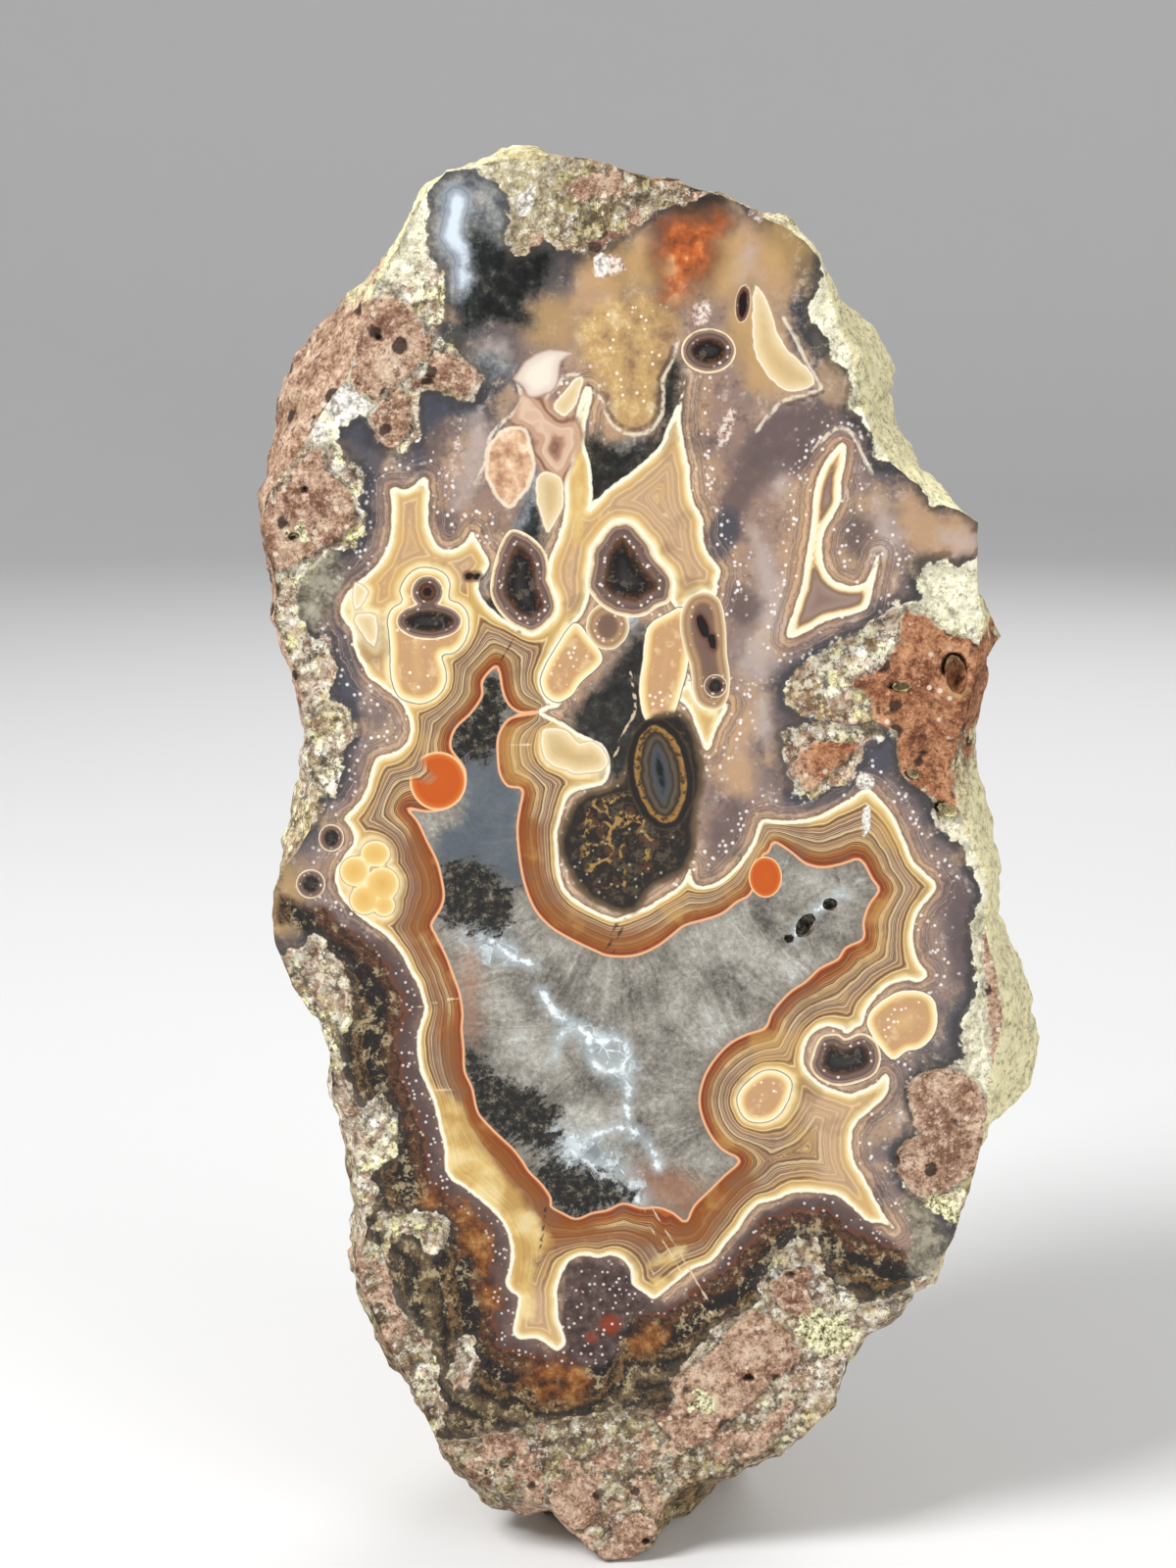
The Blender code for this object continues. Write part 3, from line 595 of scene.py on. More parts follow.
def open_rind(node):
    """The CAD skin without its cut face, divided finely, most of all near the rim."""
    bm = bmesh.new()
    bm.from_mesh(node.data)
    bmesh.ops.remove_doubles(bm, verts=bm.verts, dist=1e-6)
    cut = [f for f in bm.faces if all(abs(v.co.y - FACE_Y) < FLUSH_WITH_FACE for v in f.verts)]
    bmesh.ops.delete(bm, geom=cut, context="FACES")
    short = [e for e in bm.edges if e.is_boundary and e.calc_length() < SHORT_RIM_EDGE]
    bmesh.ops.collapse(bm, edges=short)
    bmesh.ops.subdivide_edges(bm, edges=bm.edges, cuts=1, use_grid_fill=True)
    rim = [e for e in bm.edges if min(v.co.y for v in e.verts) < FACE_Y + FINE_RIM_DEPTH]
    bmesh.ops.subdivide_edges(bm, edges=rim, cuts=1, use_grid_fill=True)
    bmesh.ops.triangulate(bm, faces=bm.faces)
    return bm


def grain(point, size):
    """Rounded grains that meet in creases."""
    height, width = size
    return height * (LEVEL_GRAIN - noise.voronoi(point / width)[0][0])


def limited(move, vert):
    """The move, shortened where the net round the point is too fine for it."""
    room = MOST_MOVE * min(edge.calc_length() for edge in vert.link_edges)
    return move * min(1.0, room / max(move.length, TINY))


def roughen_rind(bm):
    """Gives the rind its grains, and the rim of the face small chips."""
    bm.normal_update()
    noise.seed_set(CHIP_SEED)
    moves = {}
    for vert in bm.verts:
        place = vert.co
        if vert.is_boundary:
            chip = noise.noise_vector(place / CHIP_WIDTH) * CHIP_SIZE
            moves[vert] = limited(Vector((chip.x, 0.0, chip.z)), vert)
        else:
            strength = ease(place.y, FACE_Y, FACE_Y + GRAIN_FADE) * ease(place.z, 0.0, FOOT_TOP)
            push = grain(place, FINE_GRAINS) + grain(place, COARSE_GRAINS)
            moves[vert] = vert.normal * push * strength
    low, high = CAD_BOX
    for vert, move in moves.items():
        vert.co += move
        vert.co.x = min(max(vert.co.x, low.x), high.x)
        vert.co.y = min(max(vert.co.y, low.y), high.y)
        vert.co.z = min(max(vert.co.z, low.z), high.z)


def boundary_loops(bm):
    """The open rims of the mesh, each as a ring of vertices."""
    left = {e for e in bm.edges if e.is_boundary}
    loops = []
    while left:
        edge = min(left, key=lambda e: e.index)
        left.remove(edge)
        ring = list(edge.verts)
        while True:
            following = next((e for e in ring[-1].link_edges if e in left), None)
            if following is None:
                break
            left.remove(following)
            ring.append(following.other_vert(ring[-1]))
        loops.append(ring[:-1] if ring[0] is ring[-1] else ring)
    return loops


def segments_of(outline):
    """Starts and ends of the sides of a closed outline."""
    starts = np.array(outline, float)
    return starts, np.roll(starts, -1, axis=0)


def distance_to(points, starts, ends):
    """Distance from each point to the nearest of some straight pieces."""
    across, up = np.ascontiguousarray(points.T)
    nearest = np.full(len(points), FAR_AWAY)
    for (a_x, a_y), (b_x, b_y) in zip(starts, ends):
        side_x, side_y = b_x - a_x, b_y - a_y
        length = max(side_x * side_x + side_y * side_y, TINY)
        off_x, off_y = across - a_x, up - a_y
        share = np.clip((off_x * side_x + off_y * side_y) / length, 0.0, 1.0)
        gap_x, gap_y = off_x - share * side_x, off_y - share * side_y
        nearest = np.minimum(nearest, gap_x * gap_x + gap_y * gap_y)
    return np.sqrt(nearest)


def is_inside(points, starts, ends):
    """Which points lie inside a closed outline."""
    inside = np.zeros(len(points), bool)
    for a, b in zip(starts, ends):
        crosses = (a[1] > points[:, 1]) != (b[1] > points[:, 1])
        rise = b[1] - a[1] if abs(b[1] - a[1]) > TINY else TINY
        at = a[0] + (points[:, 1] - a[1]) * (b[0] - a[0]) / rise
        inside ^= crosses & (points[:, 0] < at)
    return inside


def depth_inside(points, outline):
    """Distance to a closed outline, positive inside it and negative outside."""
    starts, ends = segments_of(outline)
    distance = distance_to(points, starts, ends)
    return np.where(is_inside(points, starts, ends), distance, -distance)


def net_points(loops_mm):
    """Evenly spaced points over the face, clear of its edge and of its holes."""
    corners = np.concatenate(loops_mm)
    low, high = corners.min(axis=0), corners.max(axis=0)
    rows = np.arange(low[1], high[1], FACE_STEP * math.sqrt(0.75))
    grid = []
    for i, row in enumerate(rows):
        columns = np.arange(low[0] + (i % 2) * FACE_STEP / 2, high[0], FACE_STEP)
        grid.append(np.stack([columns, np.full(len(columns), row)], axis=1))
    grid = np.concatenate(grid)
    outer, *holes = sorted(loops_mm, key=lambda loop: -np.ptp(loop[:, 1]))
    keep = depth_inside(grid, outer) > EDGE_CLEARANCE
    for hole in holes:
        keep &= depth_inside(grid, hole) < -EDGE_CLEARANCE
    return grid[keep]


def fill_face(bm):
    """Closes the cut face with a fine net of triangles that joins the rind's own edge."""
    loops = boundary_loops(bm)
    loops_mm = [np.array([(v.co.x, v.co.z) for v in ring]) * MM_PER_M for ring in loops]
    rim_verts = [v for ring in loops for v in ring]
    edges, start = [], 0
    for ring in loops:
        edges += [(start + i, start + (i + 1) % len(ring)) for i in range(len(ring))]
        start += len(ring)
    flat = [Vector(p) for loop in loops_mm for p in loop] + [Vector(p) for p in net_points(loops_mm)]
    points, _, triangles, origins, _, _ = geometry.delaunay_2d_cdt(flat, edges, [], 1, 1e-5)
    verts = []
    for point, origin in zip(points, origins):
        first = min(origin) if origin else len(rim_verts)
        if first < len(rim_verts):
            verts.append(rim_verts[first])
        else:
            verts.append(bm.verts.new((point.x / MM_PER_M, FACE_Y, point.y / MM_PER_M)))
    holes = sorted(loops_mm, key=lambda loop: -np.ptp(loop[:, 1]))[1:]
    flat_points = np.array([tuple(p) for p in points])
    middles = np.array([flat_points[list(t)].mean(axis=0) for t in triangles])
    in_hole = np.zeros(len(triangles), bool)
    for hole in holes:
        in_hole |= depth_inside(middles, hole) > 0.0
    for triangle, skip in zip(triangles, in_hole):
        if not skip:
            face = bm.faces.new([verts[i] for i in triangle])
            face.material_index = 1


def stone_piece():
    """The visible stone: one closed mesh, with the rind as its first material and the face as its second."""
    bm = open_rind(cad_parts["agate"])
    for face in bm.faces:
        face.material_index = 0
        face.smooth = True
    roughen_rind(bm)
    for edge in bm.edges:
        edge.smooth = not edge.is_boundary
    bm.edges.index_update()
    fill_face(bm)
    bmesh.ops.recalc_face_normals(bm, faces=bm.faces)
    mesh = bpy.data.meshes.new("agate_stone")
    bm.to_mesh(mesh)
    bm.free()
    piece = bpy.data.objects.new("agate_stone", mesh)
    bpy.context.scene.collection.objects.link(piece)
    return piece


def rounded(outline, closed=True):
    """The outline with extra points on a smooth curve through its own."""
    points = np.array([face_mm(p) for p in outline])
    if closed:
        before, after = np.roll(points, 1, axis=0), np.roll(points, -1, axis=0)
        ends = after
        beyond = np.roll(points, -2, axis=0)
        starts = points
    else:
        starts, ends = points[:-1], points[1:]
        before = np.concatenate([points[:1], points[:-2]])
        beyond = np.concatenate([points[2:], points[-1:]])
    curve = []
    for step in range(ROUNDING_STEPS):
        t = step / ROUNDING_STEPS
        curve.append(0.5 * (2 * starts + (ends - before) * t
                            + (2 * before - 5 * starts + 4 * ends - beyond) * t * t
                            + (3 * starts - before - 3 * ends + beyond) * t ** 3))
    smooth = np.stack(curve, axis=1).reshape(-1, 2)
    return smooth if closed else np.concatenate([smooth, points[-1:]])


def depth_in_any(points, outlines):
    """Distance inside the nearest of several outlines, negative outside them all."""
    return np.max([depth_inside(points, rounded(outline)) for outline in outlines], axis=0)


def depth_share(points, outlines):
    """Depth inside the nearest of several outlines, as a share of that outline's greatest depth."""
    shares = []
    for outline in outlines:
        depth = depth_inside(points, rounded(outline))
        shares.append(depth / max(float(depth.max()), 0.1))
    return np.max(shares, axis=0)


def line_distance(points, lines):
    """Distance to the nearest of several open lines."""
    found = []
    for line in lines:
        curve = rounded(line, closed=False)
        found.append(distance_to(points, curve[:-1], curve[1:]))
    return np.min(found, axis=0)


def along_edge(points, outline):
    """How far round an outline the nearest place on it lies."""
    curve = rounded(outline)
    starts, ends = curve, np.roll(curve, -1, axis=0)
    nearest, found, travelled = np.full(len(points), FAR_AWAY), np.zeros(len(points)), 0.0
    for a, b in zip(starts, ends):
        along = b - a
        length = max(float(along @ along), TINY)
        offset = points - a
        share = np.clip((offset @ along) / length, 0.0, 1.0)
        gap = offset - share[:, None] * along
        distance = (gap * gap).sum(axis=1)
        closer = distance < nearest
        nearest[closer] = distance[closer]
        found[closer] = travelled + share[closer] * math.sqrt(length)
        travelled += math.sqrt(length)
    return found


def face_fields(points):
    """Every field of the cut face, by name, for points given in millimetres."""
    chambers = [depth_inside(points, rounded(o)) for o in (CHAMBER, FORK, SMALL_TRIANGLE)]
    fields = {
        "chamber": np.max(chambers, axis=0),
        "fork": chambers[1],
        "window": depth_inside(points, rounded(WINDOW)),
        "window_along": along_edge(points, WINDOW),
        "heart": depth_inside(points, rounded(HEART)),
        "murk": depth_inside(points, rounded(MURK)),
        "eye_share": depth_share(points, EYES),
        "ring_share": depth_share(points, GOLD_EYE),
        "ball_share": depth_share(points, BALLS),
    }
    shapes = {
        "rock": ROCKS, "rock_pit": ROCK_PITS, "pit_floor": PIT_FLOORS, "white_lump": WHITE_LUMPS,
        "yellow_lump": YELLOW_LUMPS, "glassy": GLASSY_EDGES, "grit": GRIT, "speck": SPECKS, "orb": ORBS,
        "plume": PLUMES, "pink": PINKS, "bulb": BULBS, "flesh": FLESH, "bubble": BUBBLES, "capsule": CAPSULES,
        "slit": SLITS, "moss": MOSS, "gold_moss": GOLD_MOSS, "smoke": SMOKE, "blue": BLUES, "slate": SLATES,
        "amber": AMBERS, "ochre": OCHRES, "orange": ORANGES, "mauve": MAUVES, "ember": EMBERS,
        "peach": PEACHES, "haze": HAZES, "dusk": DUSKS, "amber_band": AMBER_BANDS, "gel": GELS,
        "quartz_dark": QUARTZ_DARKS, "quartz_white": QUARTZ_WHITES, "quartz_deep": QUARTZ_DEEPS,
        "quartz_warm": WARM_QUARTZ,
    }
    lines = {"blue_streak": BLUE_STREAKS, "white_vein": WHITE_VEINS, "pale_crack": PALE_CRACKS,
             "dark_crack": DARK_CRACKS, "pale_line": PALE_LINES, "dark_line": DARK_LINES}
    for name, outlines in shapes.items():
        fields[name] = depth_in_any(points, outlines)
    for name, outlines in lines.items():
        fields[name] = line_distance(points, outlines)
    eye_rim = depth_in_any(points, EYES)
    rims = [fields[name] for name in ("chamber", "orb", "bubble", "plume", "capsule")] + [eye_rim]
    fields["seed"] = np.min(np.abs(rims), axis=0)
    return fields


def ball_field(points, balls):
    """How deep each point lies inside the nearest of some balls, in radii, negative outside them."""
    best = np.full(len(points), -FAR_AWAY)
    for pixel, behind, radius in balls:
        reach = (VIEW_DISTANCE + behind) / VIEW_DISTANCE
        x, z = face_mm(pixel)
        middle = np.array([EYE_X + (x / MM_PER_M - EYE_X) * reach, FACE_Y + behind,
                           EYE_HEIGHT + (z / MM_PER_M - EYE_HEIGHT) * reach])
        distance = np.sqrt(((points - middle) ** 2).sum(axis=1))
        best = np.maximum(best, 1.0 - distance / radius)
    return best


def store(mesh, name, values):
    """Keeps one number for each point of the mesh."""
    mesh.attributes.new(name, "FLOAT", "POINT").data.foreach_set("value", values.astype(np.float32))


def paint_fields(mesh):
    """Works out all fields and keeps them on the mesh, then wears the crust and rock below the polish."""
    places = np.zeros(len(mesh.vertices) * 3)
    mesh.vertices.foreach_get("co", places)
    places = places.reshape(-1, 3)
    on_face = places[:, 1] < FACE_Y + FLUSH_WITH_FACE
    across_and_up = places[on_face][:, [0, 2]]
    fields = face_fields(across_and_up * MM_PER_M)
    for name, found in fields.items():
        values = np.full(len(places), OFF_FACE)
        values[on_face] = found
        store(mesh, name, values)
    balls = {"red_rock": RED_ROCK, "speckled": SPECKLED, "bright_crust": BRIGHT_CRUST,
             "dingy_crust": DINGY_CRUST, "brown_rock": BROWN_ROCK, "vug": VUGS}
    for name, places_of_balls in balls.items():
        store(mesh, name, ball_field(places, places_of_balls))
    wear_face(mesh, places, np.flatnonzero(on_face), fields)


def wear_face(mesh, places, on_face, fields):
    """Wears the crust and rock of the cut face below its polish, and sinks the holes in the rock."""
    crust = np.max([-fields["heart"], fields["grit"]], axis=0)
    for index, crust_depth, rock_depth, pit in zip(on_face, crust, fields["rock"], fields["rock_pit"]):
        if crust_depth > CRUST_WEAR[0] or rock_depth > 0.0:
            place = Vector(places[index])
            worn = CRUST_RELIEF * ease(crust_depth, *CRUST_WEAR) if rock_depth < 0.0 else ROCK_RELIEF
            crumb = sum(noise.voronoi(place / width)[0][0] for _, width in (COARSE_GRAINS, FINE_GRAINS))
            mesh.vertices[index].co.y += worn * min(crumb, TALLEST_CRUMB) + PIT_DEPTH * ease(pit, *PIT_WEAR)


def linear(colour):
    """A colour given as on screen, 0 to 255, as the numbers the shader works with."""
    shares = [c / 255.0 for c in colour]
    return tuple(s / 12.92 if s <= 0.04045 else ((s + 0.055) / 1.055) ** 2.4 for s in shares)


# Colours along a scale from 0 to 1: where each stands, and the colour as on screen, 0 to 255
# Lumps of the crust, by chance
CRUST_TONES = [
    (0.04, (146, 124, 102)), (0.25, (184, 166, 142)), (0.45, (208, 197, 176)), (0.65, (224, 218, 196)),
    (0.85, (234, 229, 190)), (0.97, (244, 241, 230)),
]
# The chalcedony, from the chambers' edge out to the crust
GROUND_TONES = [
    (0.00, (196, 164, 132)), (0.10, (174, 142, 114)), (0.24, (148, 122, 108)), (0.45, (136, 116, 108)),
    (0.62, (118, 103, 100)), (0.78, (92, 86, 87)), (0.92, (60, 61, 65)), (1.00, (84, 80, 74)),
]
# Blue-grey pools
BLUE_TONES = [
    (0.36, (84, 88, 94)), (0.48, (124, 128, 130)), (0.56, (150, 150, 146)), (0.68, (184, 180, 170)),
]
# Black-green smoke
SMOKE_TONES = [
    (0.38, (10, 12, 11)), (0.50, (24, 27, 26)), (0.59, (46, 49, 46)), (0.69, (98, 96, 86)),
]
# The amber finger
AMBER_TONES = [
    (0.36, (140, 110, 80)), (0.46, (178, 144, 98)), (0.54, (196, 162, 106)), (0.66, (224, 202, 158)),
]
# The orange stain
ORANGE_TONES = [
    (0.36, (112, 62, 36)), (0.46, (166, 84, 40)), (0.54, (198, 106, 54)), (0.64, (224, 166, 114)),
]
# Gritty specks
SPECK_TONES = [
    (0.38, (122, 98, 90)), (0.48, (200, 170, 158)), (0.58, (236, 226, 214)),
]
# The dark ground, from the chamber's edge outwards
MURK_TONES = [
    (0.00, (118, 94, 84)), (0.07, (94, 76, 72)), (0.15, (80, 62, 58)), (0.19, (108, 62, 38)),
    (0.22, (44, 32, 27)), (0.29, (92, 58, 34)), (0.34, (34, 26, 23)), (0.48, (32, 26, 22)),
    (0.58, (98, 76, 46)), (0.66, (28, 24, 21)), (0.80, (104, 88, 62)), (0.88, (36, 30, 25)),
    (1.00, (72, 60, 44)),
]
# Its glowing places
EMBER_TONES = [
    (0.38, (56, 30, 16)), (0.48, (110, 62, 24)), (0.56, (150, 92, 38)), (0.66, (182, 136, 80)),
]
# Its mauve pocket
MAUVE_TONES = [
    (0.38, (48, 36, 34)), (0.50, (76, 60, 56)), (0.62, (104, 86, 82)),
]
# The bands, from the cream edge to the rim of the quartz
BAND_TONES = [
    (0.00, (238, 226, 190)), (0.06, (228, 206, 152)), (0.11, (200, 166, 104)), (0.17, (184, 148, 92)),
    (0.21, (110, 80, 56)), (0.25, (180, 144, 102)), (0.33, (128, 97, 80)), (0.38, (156, 125, 99)),
    (0.44, (118, 90, 74)), (0.49, (212, 187, 141)), (0.52, (120, 86, 62)), (0.60, (154, 118, 84)),
    (0.65, (204, 168, 110)), (0.69, (126, 80, 42)), (0.77, (162, 102, 46)), (0.84, (136, 68, 22)),
    (0.93, (126, 54, 16)), (0.98, (176, 88, 34)),
]
# Bands that look like pale gel
GEL_TONES = [
    (0.38, (190, 152, 84)), (0.50, (214, 182, 112)), (0.62, (232, 210, 152)),
]
# The fork, from its edge inwards
FORK_TONES = [
    (0.00, (238, 228, 200)), (0.14, (236, 222, 182)), (0.20, (190, 152, 98)), (0.25, (128, 102, 88)),
    (0.36, (152, 128, 116)), (0.60, (134, 110, 100)), (1.00, (168, 134, 100)),
]
# Orbs, from their edge inwards
ORB_TONES = [
    (0.00, (110, 86, 66)), (0.03, (240, 232, 206)), (0.12, (236, 216, 166)), (0.20, (222, 188, 126)),
    (0.30, (192, 150, 104)), (0.60, (188, 148, 108)), (1.00, (206, 168, 116)),
]
# Plumes, from their edge inwards
PLUME_TONES = [
    (0.00, (176, 150, 120)), (0.06, (240, 230, 208)), (0.16, (226, 206, 164)), (0.50, (208, 182, 134)),
    (1.00, (190, 160, 112)),
]
# Bubbles, from their edge inwards
BUBBLE_TONES = [
    (0.00, (158, 112, 60)), (0.08, (240, 222, 172)), (0.28, (224, 188, 114)), (1.00, (210, 162, 84)),
]
# Pinkish folds
FOLD_TONES = [
    (0.34, (134, 96, 78)), (0.46, (176, 138, 114)), (0.54, (200, 164, 138)), (0.66, (222, 196, 172)),
]
# The peach bulb
FLESH_TONES = [
    (0.38, (168, 126, 100)), (0.48, (200, 160, 128)), (0.57, (220, 184, 150)), (0.68, (240, 220, 196)),
]
# The white bulb, from its edge inwards
BULB_TONES = [
    (0.00, (160, 130, 118)), (0.14, (214, 196, 182)), (0.50, (228, 217, 202)), (1.00, (230, 220, 202)),
]
# Capsules, from their edge inwards
CAPSULE_TONES = [
    (0.00, (236, 226, 198)), (0.09, (200, 172, 128)), (0.20, (152, 120, 92)), (0.34, (170, 136, 100)),
    (0.50, (120, 94, 78)), (1.00, (104, 84, 76)),
]
# Eyes, from their rim to their middle
EYE_TONES = [
    (0.00, (240, 230, 204)), (0.08, (214, 192, 148)), (0.13, (126, 100, 84)), (0.19, (150, 124, 112)),
    (0.25, (98, 78, 70)), (0.40, (114, 92, 84)), (0.48, (88, 62, 46)), (0.58, (46, 36, 32)),
    (0.74, (26, 24, 24)), (1.00, (52, 50, 48)),
]
# The gold eye, from its rim to its middle
RING_TONES = [
    (0.00, (66, 52, 38)), (0.10, (26, 22, 20)), (0.22, (34, 28, 24)), (0.28, (156, 118, 62)),
    (0.38, (132, 96, 50)), (0.44, (40, 33, 28)), (0.58, (92, 80, 64)), (0.66, (52, 46, 40)),
    (0.76, (76, 72, 66)), (0.86, (64, 70, 78)), (0.95, (18, 18, 20)),
]
# Quartz, dark to light
QUARTZ_TONES = [
    (0.37, (80, 76, 70)), (0.44, (114, 109, 101)), (0.51, (143, 138, 128)), (0.59, (172, 169, 160)),
    (0.68, (208, 210, 206)),
]
# Moss at the quartz's edge
SOOT_TONES = [
    (0.40, (10, 10, 9)), (0.49, (24, 23, 21)), (0.56, (60, 55, 46)), (0.64, (128, 120, 102)),
]
# Orange balls, from their rim to their middle
BALL_TONES = [
    (0.00, (248, 212, 162)), (0.12, (202, 106, 36)), (0.30, (186, 82, 18)), (1.00, (190, 86, 20)),
]
# Glassy edges of the crust
GLASS_TONES = [
    (0.38, (70, 66, 56)), (0.48, (118, 112, 94)), (0.58, (164, 158, 138)),
]
# White lumps on the crust
WHITE_LUMP_TONES = [
    (0.40, (150, 140, 128)), (0.50, (214, 208, 198)), (0.60, (242, 240, 234)),
]
# Yellow lumps on the crust
YELLOW_LUMP_TONES = [
    (0.40, (78, 68, 46)), (0.49, (196, 188, 142)), (0.58, (240, 236, 200)),
]
# Brown rock
ROCK_TONES = [
    (0.38, (126, 90, 70)), (0.46, (162, 126, 102)), (0.54, (186, 154, 128)), (0.64, (212, 186, 160)),
]
# Grey quartz round the small open holes
VUG_TONES = [
    (0.40, (52, 46, 40)), (0.50, (104, 97, 86)), (0.60, (160, 154, 142)),
]

# No texture has detail finer than this, in millimetres: it would be smaller than a pixel.
FINEST_GRAIN = 0.06
# Textures with different shifts are read this far apart, in millimetres for each unit of shift.
SHIFT_STEP = 37.3
# The shader's own numbers: agate and rind, how high bumps stand in metres, and the polish of the face
AGATE_IOR = 1.54
FACE_SPECULAR = 0.25
RIND_SPECULAR = 0.3
BUMP_HEIGHT = 0.0003
POLISHED, UNPOLISHED = 0.16, 0.62
RIND_ROUGHNESS = 0.78


class Painter:
    """Builds one material's nodes, and keeps the colour painted so far."""

    def __init__(self, name):
        self.material = bpy.data.materials.new(name)
        self.material.use_nodes = True
        tree = self.material.node_tree
        self.nodes, self.links = tree.nodes, tree.links
        self.shader = self.nodes["Principled BSDF"]
        place = self.nodes.new("ShaderNodeTexCoord").outputs["Object"]
        scale = self.nodes.new("ShaderNodeMapping")
        self.links.new(place, scale.inputs["Vector"])
        scale.inputs["Scale"].default_value = (MM_PER_M, MM_PER_M, MM_PER_M)
        self.mm = scale.outputs["Vector"]
        self.colour = None

    def put(self, socket, value):
        """Links a socket to another one, or gives it a plain value."""
        if isinstance(value, bpy.types.NodeSocket):
            self.links.new(value, socket)
        else:
            socket.default_value = value

    def field(self, name):
        """A field kept on the mesh."""
        node = self.nodes.new("ShaderNodeAttribute")
        node.attribute_name = name
        return node.outputs["Fac"]

    def math(self, operation, *values):
        """One step of arithmetic on sockets and numbers."""
        node = self.nodes.new("ShaderNodeMath")
        node.operation = operation
        for socket, value in zip(node.inputs, values):
            self.put(socket, value)
        return node.outputs[0]

    def times(self, first, second):
        return self.math("MULTIPLY", first, second)

    def plus(self, first, second):
        return self.math("ADD", first, second)

    def minus(self, first, second):
        return self.math("SUBTRACT", first, second)

    def ratio(self, first, second):
        return self.math("DIVIDE", first, second)

    def most(self, first, second):
        return self.math("MAXIMUM", first, second)

    def least(self, first, second):
        return self.math("MINIMUM", first, second)

    def size(self, value):
        return self.math("ABSOLUTE", value)

    def over(self, value, start, end):
        """0 up to start, 1 from end on, smooth between. An end below the start turns it round."""
        node = self.nodes.new("ShaderNodeMapRange")
        node.interpolation_type = "SMOOTHSTEP"
        node.clamp = False
        self.put(node.inputs["Value"], value)
        self.put(node.inputs["From Min"], start)
        self.put(node.inputs["From Max"], end)
        return node.outputs["Result"]

    def within(self, value, low, high, soft):
        """1 between low and high, fading out over soft on both sides."""
        rising = self.over(value, low - soft, low + soft)
        return self.times(rising, self.over(value, high + soft, high - soft))

    def both(self, *masks):
        """Where all the masks are, each thinned by the others."""
        found = masks[0]
        for mask in masks[1:]:
            found = self.times(found, mask)
        return found

    def noise(self, width, detail=2.0, roughness=0.5, shift=0.0):
        """Cloudy noise from 0 to 1, with clouds about as wide as given, in millimetres."""
        detail = min(detail, math.log2(width / FINEST_GRAIN))
        place = self.nodes.new("ShaderNodeMapping")
        self.links.new(self.mm, place.inputs["Vector"])
        place.inputs["Location"].default_value = (SHIFT_STEP * shift, 0.0, -SHIFT_STEP * shift)
        node = self.nodes.new("ShaderNodeTexNoise")
        self.links.new(place.outputs["Vector"], node.inputs["Vector"])
        node.inputs["Scale"].default_value = 1.0 / width
        node.inputs["Detail"].default_value = detail
        node.inputs["Roughness"].default_value = roughness
        return node.outputs["Fac"]

    def layers(self, value, width, detail=2.0):
        """Noise that changes only with a value, so that it draws lines along equal values."""
        node = self.nodes.new("ShaderNodeTexNoise")
        node.noise_dimensions = "1D"
        self.put(node.inputs["W"], value)
        node.inputs["Scale"].default_value = 1.0 / width
        node.inputs["Detail"].default_value = detail
        return node.outputs["Fac"]

    def seeded(self, width, stir, feature="F1"):
        """A cell texture. Stirring, in millimetres, makes the edges of its cells ragged."""
        node = self.nodes.new("ShaderNodeTexVoronoi")
        node.feature = feature
        self.links.new(self.mm, node.inputs["Vector"])
        node.inputs["Scale"].default_value = 1.0 / width
        if stir:
            node.voronoi_dimensions = "4D"
            self.put(node.inputs["W"], self.times(self.noise(0.6 * width, 4.0, 0.6, 61.0), stir))
        return node

    def cells(self, width, stir=0.0):
        """Distance to the nearest of scattered seeds, in widths, and a random number for each seed."""
        node = self.seeded(width, stir)
        split = self.nodes.new("ShaderNodeSeparateColor")
        self.links.new(node.outputs["Color"], split.inputs[0])
        return node.outputs["Distance"], split.outputs[0]

    def facets(self, width):
        """Distance to the edges between crystals, in widths, and a random number for each crystal."""
        return self.seeded(width, 0.0, "DISTANCE_TO_EDGE").outputs["Distance"], self.cells(width)[1]

    def ramp(self, value, stops):
        """The colour that stands at a value on a scale of colours."""
        node = self.nodes.new("ShaderNodeValToRGB")
        self.put(node.inputs[0], value)
        elements = node.color_ramp.elements
        elements[0].position = stops[0][0]
        elements[1].position = stops[-1][0]
        for place, _ in stops[1:-1]:
            elements.new(place)
        for element, (_, colour) in zip(elements, stops):
            element.color = (*linear(colour), 1.0)
        return node.outputs["Color"]

    def blend(self, mask, below, above, kind="MIX"):
        """One colour over another, where the mask says."""
        node = self.nodes.new("ShaderNodeMix")
        node.data_type = "RGBA"
        node.blend_type = kind
        self.put(node.inputs["Factor"], mask)
        sockets = [s for s in node.inputs if s.type == "RGBA"]
        for socket, value in zip(sockets, (below, above)):
            self.put(socket, (*linear(value), 1.0) if isinstance(value, tuple) else value)
        return [s for s in node.outputs if s.type == "RGBA"][0]

    def lay(self, colour, *masks):
        """Paints a colour over what is there, where all the masks are."""
        self.colour = self.blend(self.both(*masks), self.colour, colour)

    def stirred(self, name, amount, *cloud):
        """A field pushed up by noise."""
        return self.plus(self.field(name), self.times(self.noise(*cloud), amount))

    def wobbled(self, name, width, amount):
        """A field with its edge made uneven."""
        swing = self.minus(self.noise(width, 2.0, 0.55), 0.5)
        return self.plus(self.field(name), self.times(swing, 2.0 * amount))


def sparkles(paint, width, share, size=0.26):
    """Tiny scattered white dots, on a share of the places for them."""
    distance, chance = paint.cells(width)
    return paint.both(paint.over(distance, size, size * 0.5), paint.over(chance, 1.0 - share, 1.02 - share))


